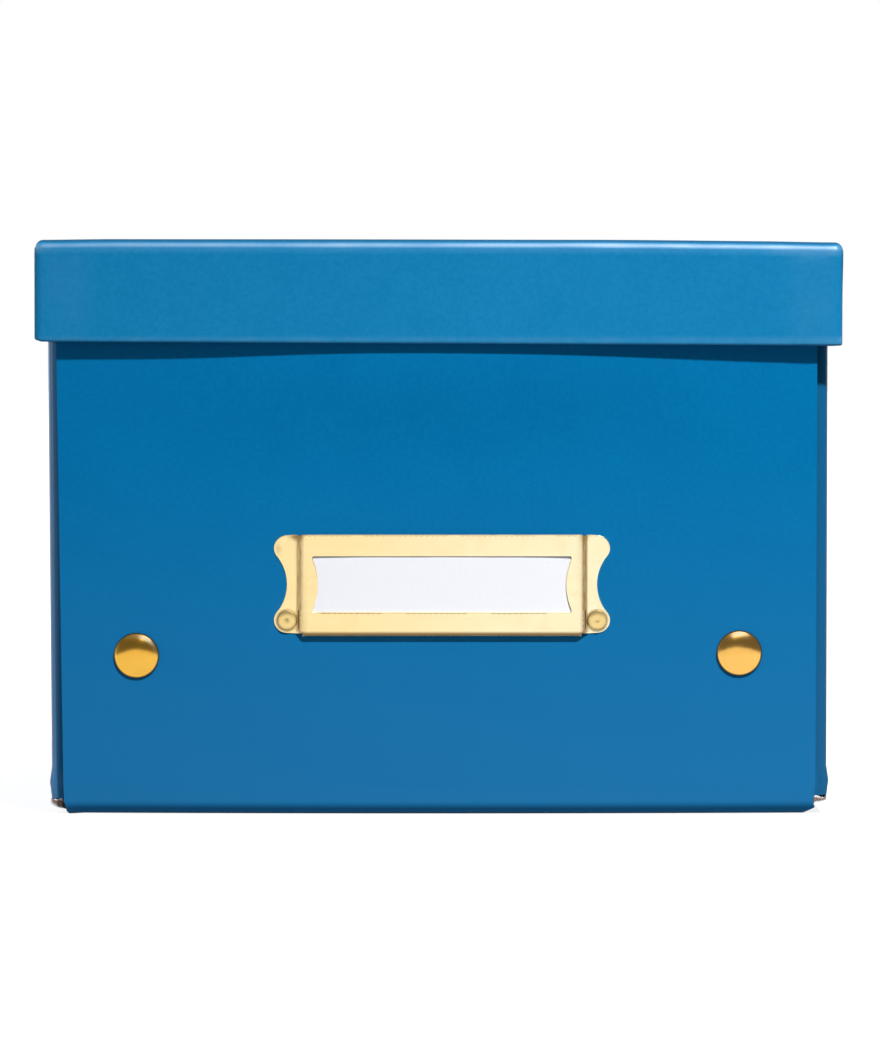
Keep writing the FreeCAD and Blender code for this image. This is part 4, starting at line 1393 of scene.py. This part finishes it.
grid = []
joggles = [side * x for side in (-1, 1) for x in spread(JOGGLE_START, JOGGLE_START + JOGGLE_RUN, 10)]
for x in spread(-46, 46, 62) + joggles:
    grid += [(x + 0.013 * z, z) for z in spread(-13.1, 13.1, 18)]
for x in spread(-38.2, 38.2, 52):
    grid += [(x, -HALF_HIGH - 0.01)] + [(x, -HALF_HIGH - LIP_BEND * math.radians(15 * i)) for i in range(1, 7)]
for ring_radius in (2.3, 2.55, 2.8, 3.05, 3.3):
    for side in (-1, 1):
        grid += round_points(side * LOBE_X, -LOBE_Z, ring_radius, 0, 350, 28)
rims = [0.14, 0.25] + [0.12] * (len(holes) - 1)
holder = stamped_sheet("stamped_label_holder", [outline] + holes, rims, holder_rule, SHEET, grid)
holder.data.materials.append(holder_brass)


def holder_grime_and_shade(place):
    """Darker at the top notches, a scuff, a seam line and dirt round the rivets; painted shade at the rim,
    steps and lip.
    """
    x = (place.x - HOLDER_X) / MM
    z = (place.z - HOLDER_LEVEL) / MM
    across = abs(x)
    smear = spot((x + 41.2, 1.3), (z - 13.2, 0.5)) + 1.2 * spot((across - 39.9, 0.75), (z - 13.2, 0.9))
    scuff = 0.8 * spot((x + 45.6, 0.35), (z - 9.6, 1.3))
    seam = 0.20 * spot((z + 12.3, 0.25)) * (0.5 + ripple(x * 0.3, 0, 0))
    # Painted shade on the lip's downward bend, on the steps beside the frame and along the top rim.
    lip = smooth(-13.35, -13.75, z) * (1 - smooth(-14.3, -14.5, z)) * (across < 39.1)
    step = (0.85 if x < 0 else 1.0) * smooth(39.0, 39.4, across) * (1 - smooth(40.3, 40.9, across))
    step = step * (0.9 + 0.3 * ripple(x * 2.5, z * 0.4, 7.0)) + 0.3 * spot((across - 38.9, 0.3))
    round_rivet = 0.7 * spot((from_rivet(x, z) - 2.85, 0.22))
    rim = 0.85 * smooth(13.5, 13.75, z) * (0.9 + 0.3 * ripple(x * 0.25, 0, 3.0))
    return max(0.0, min(1.0, smear + scuff + seam + lip + step + round_rivet + rim))


store(holder, "stain_and_painted_light", [holder_grime_and_shade(point.co) for point in holder.data.vertices])
shade_smooth(holder, math.radians(28))
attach(holder, "box")
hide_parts("label_holder")
print("holder:", len(holder.data.polygons), "faces")

# %% [markdown]
# ## The card
#
# The card is thinner than its pocket, so it bows and touches the back of the frame at its middle. It carries
# nothing. A grid with the bow worked in and a thickness gives it, with rounded upper corners as it was cut.

# %% A bowed card
card_low, card_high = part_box("label_card")
CARD = 0.4 * MM
CARD_ROUND = 1.0 * MM
CARD_FOOT = card_low.z + 0.4 * MM
CARD_FRONT = -HALF_LENGTH - (POCKET - 0.04) * MM
card_middle = (card_low.x + card_high.x) / 2
card_half = (card_high.x - card_low.x) / 2


def card_rule(share, rise, depth):
    """One point of the card from its share of the half width and its height."""
    level = CARD_FOOT + (card_high.z - CARD_FOOT) * rise
    late = max(0.0, level - (card_high.z - CARD_ROUND))
    half = card_half - CARD_ROUND + math.sqrt(max(0.0, CARD_ROUND ** 2 - late ** 2))
    near_foot = 1 - smooth(0.0, 0.16, rise)
    bow = 0.30 * MM * (share ** 4 * (1 - near_foot) + near_foot)
    return Vector((card_middle + share * half, CARD_FRONT + bow + depth, level))


card_rows = spread(0, 0.94, 22) + [0.955, 0.97, 0.98, 0.99, 0.996, 1.0]
card = folded_board(
    "bowed_label_card", [(spread(-1, 1, 48), card_rows, card_rule, everywhere, False)],
    CARD, (card_white, card_white, card_white), lambda place: 0.0,
)
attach(card, "label_card")
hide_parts("label_card")
print("card thickness in mm:", round(CARD / MM, 2))

# %% [markdown]
# ## The pieces kept from the frame
#
# The hidden brass inside the box has the right shape already, so it only gets its finish.

# %% Finishes on kept pieces
def dress(node, finish):
    """Gives every material slot of a frame piece one finish."""
    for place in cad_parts[node].material_slots:
        place.material = finish


for end in ("front", "back"):
    dress(end + "_stud_sockets", inner_brass)
    dress(end + "_male_studs", inner_brass)
    dress(end + "_stud_posts", cap_brass)
    dress(end + "_stud_ring_springs", spring_steel)
dress("label_rivet_washers", inner_brass)
print("kept pieces:", sum(not node.hide_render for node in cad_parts.values()))

# %% [markdown]
# ## The streak on the caps
#
# The photograph shows a soft bright streak high on each cap, as a lamp with a diffuser gives. Here that lamp is
# a sheet that only glossy rays see. It is bright in its middle and fades toward its rim, which its points carry
# as a stored number, and it lights nothing else, so the colours of the box stay as they are.

# %% The soft lamp that the caps mirror
SOFT_PLACE = Vector((105, -380, 352)) * MM
SOFT_HALF_WIDTH, SOFT_HALF_HEIGHT = 180 * MM, 72 * MM
SOFT_CELLS, SOFT_STRENGTH = 12, 2.9
toward_box = (Vector((0.0, front_plane, 0.06)) - SOFT_PLACE).normalized()
across = toward_box.cross(Vector((0, 0, 1))).normalized()
upward = across.cross(toward_box)
lamp_points, lamp_shine = [], []
for up in spread(-1, 1, SOFT_CELLS):
    for side in spread(-1, 1, SOFT_CELLS):
        lamp_points.append(SOFT_PLACE + across * side * SOFT_HALF_WIDTH + upward * up * SOFT_HALF_HEIGHT)
        lamp_shine.append((1 - side ** 4) * (1 - up * up))
row = SOFT_CELLS + 1
lamp_faces = [
    (i * row + j, i * row + j + 1, (i + 1) * row + j + 1, (i + 1) * row + j)
    for i in range(SOFT_CELLS) for j in range(SOFT_CELLS)
]
soft_panel = own_mesh("mirrored_soft_lamp", lamp_points, lamp_faces)
store(soft_panel, "shine", lamp_shine)
panel_paint = Paint("mirrored_soft_lamp")
mirrored_only(soft_panel, panel_paint, (1, 0.98, 0.95), panel_paint.stored("shine") * SOFT_STRENGTH)

# %% [markdown]
# The two far lamps are small and strong, so a lacquered dome would show each as a glaring spot. The photograph
# has a soft streak there instead, so the caps are left out of what those lamps light. They are metal, so they
# lose nothing but the spots.

# %% Caps without glare
unlit = bpy.data.collections.new("caps_without_glare")
for cap_pair in caps:
    unlit.objects.link(cap_pair)
for member in unlit.collection_objects:
    member.light_linking.link_state = "EXCLUDE"
for far_lamp in (key, beam):
    far_lamp.light_linking.receiver_collection = unlit
print("lamps that skip the caps:", key.name, beam.name)
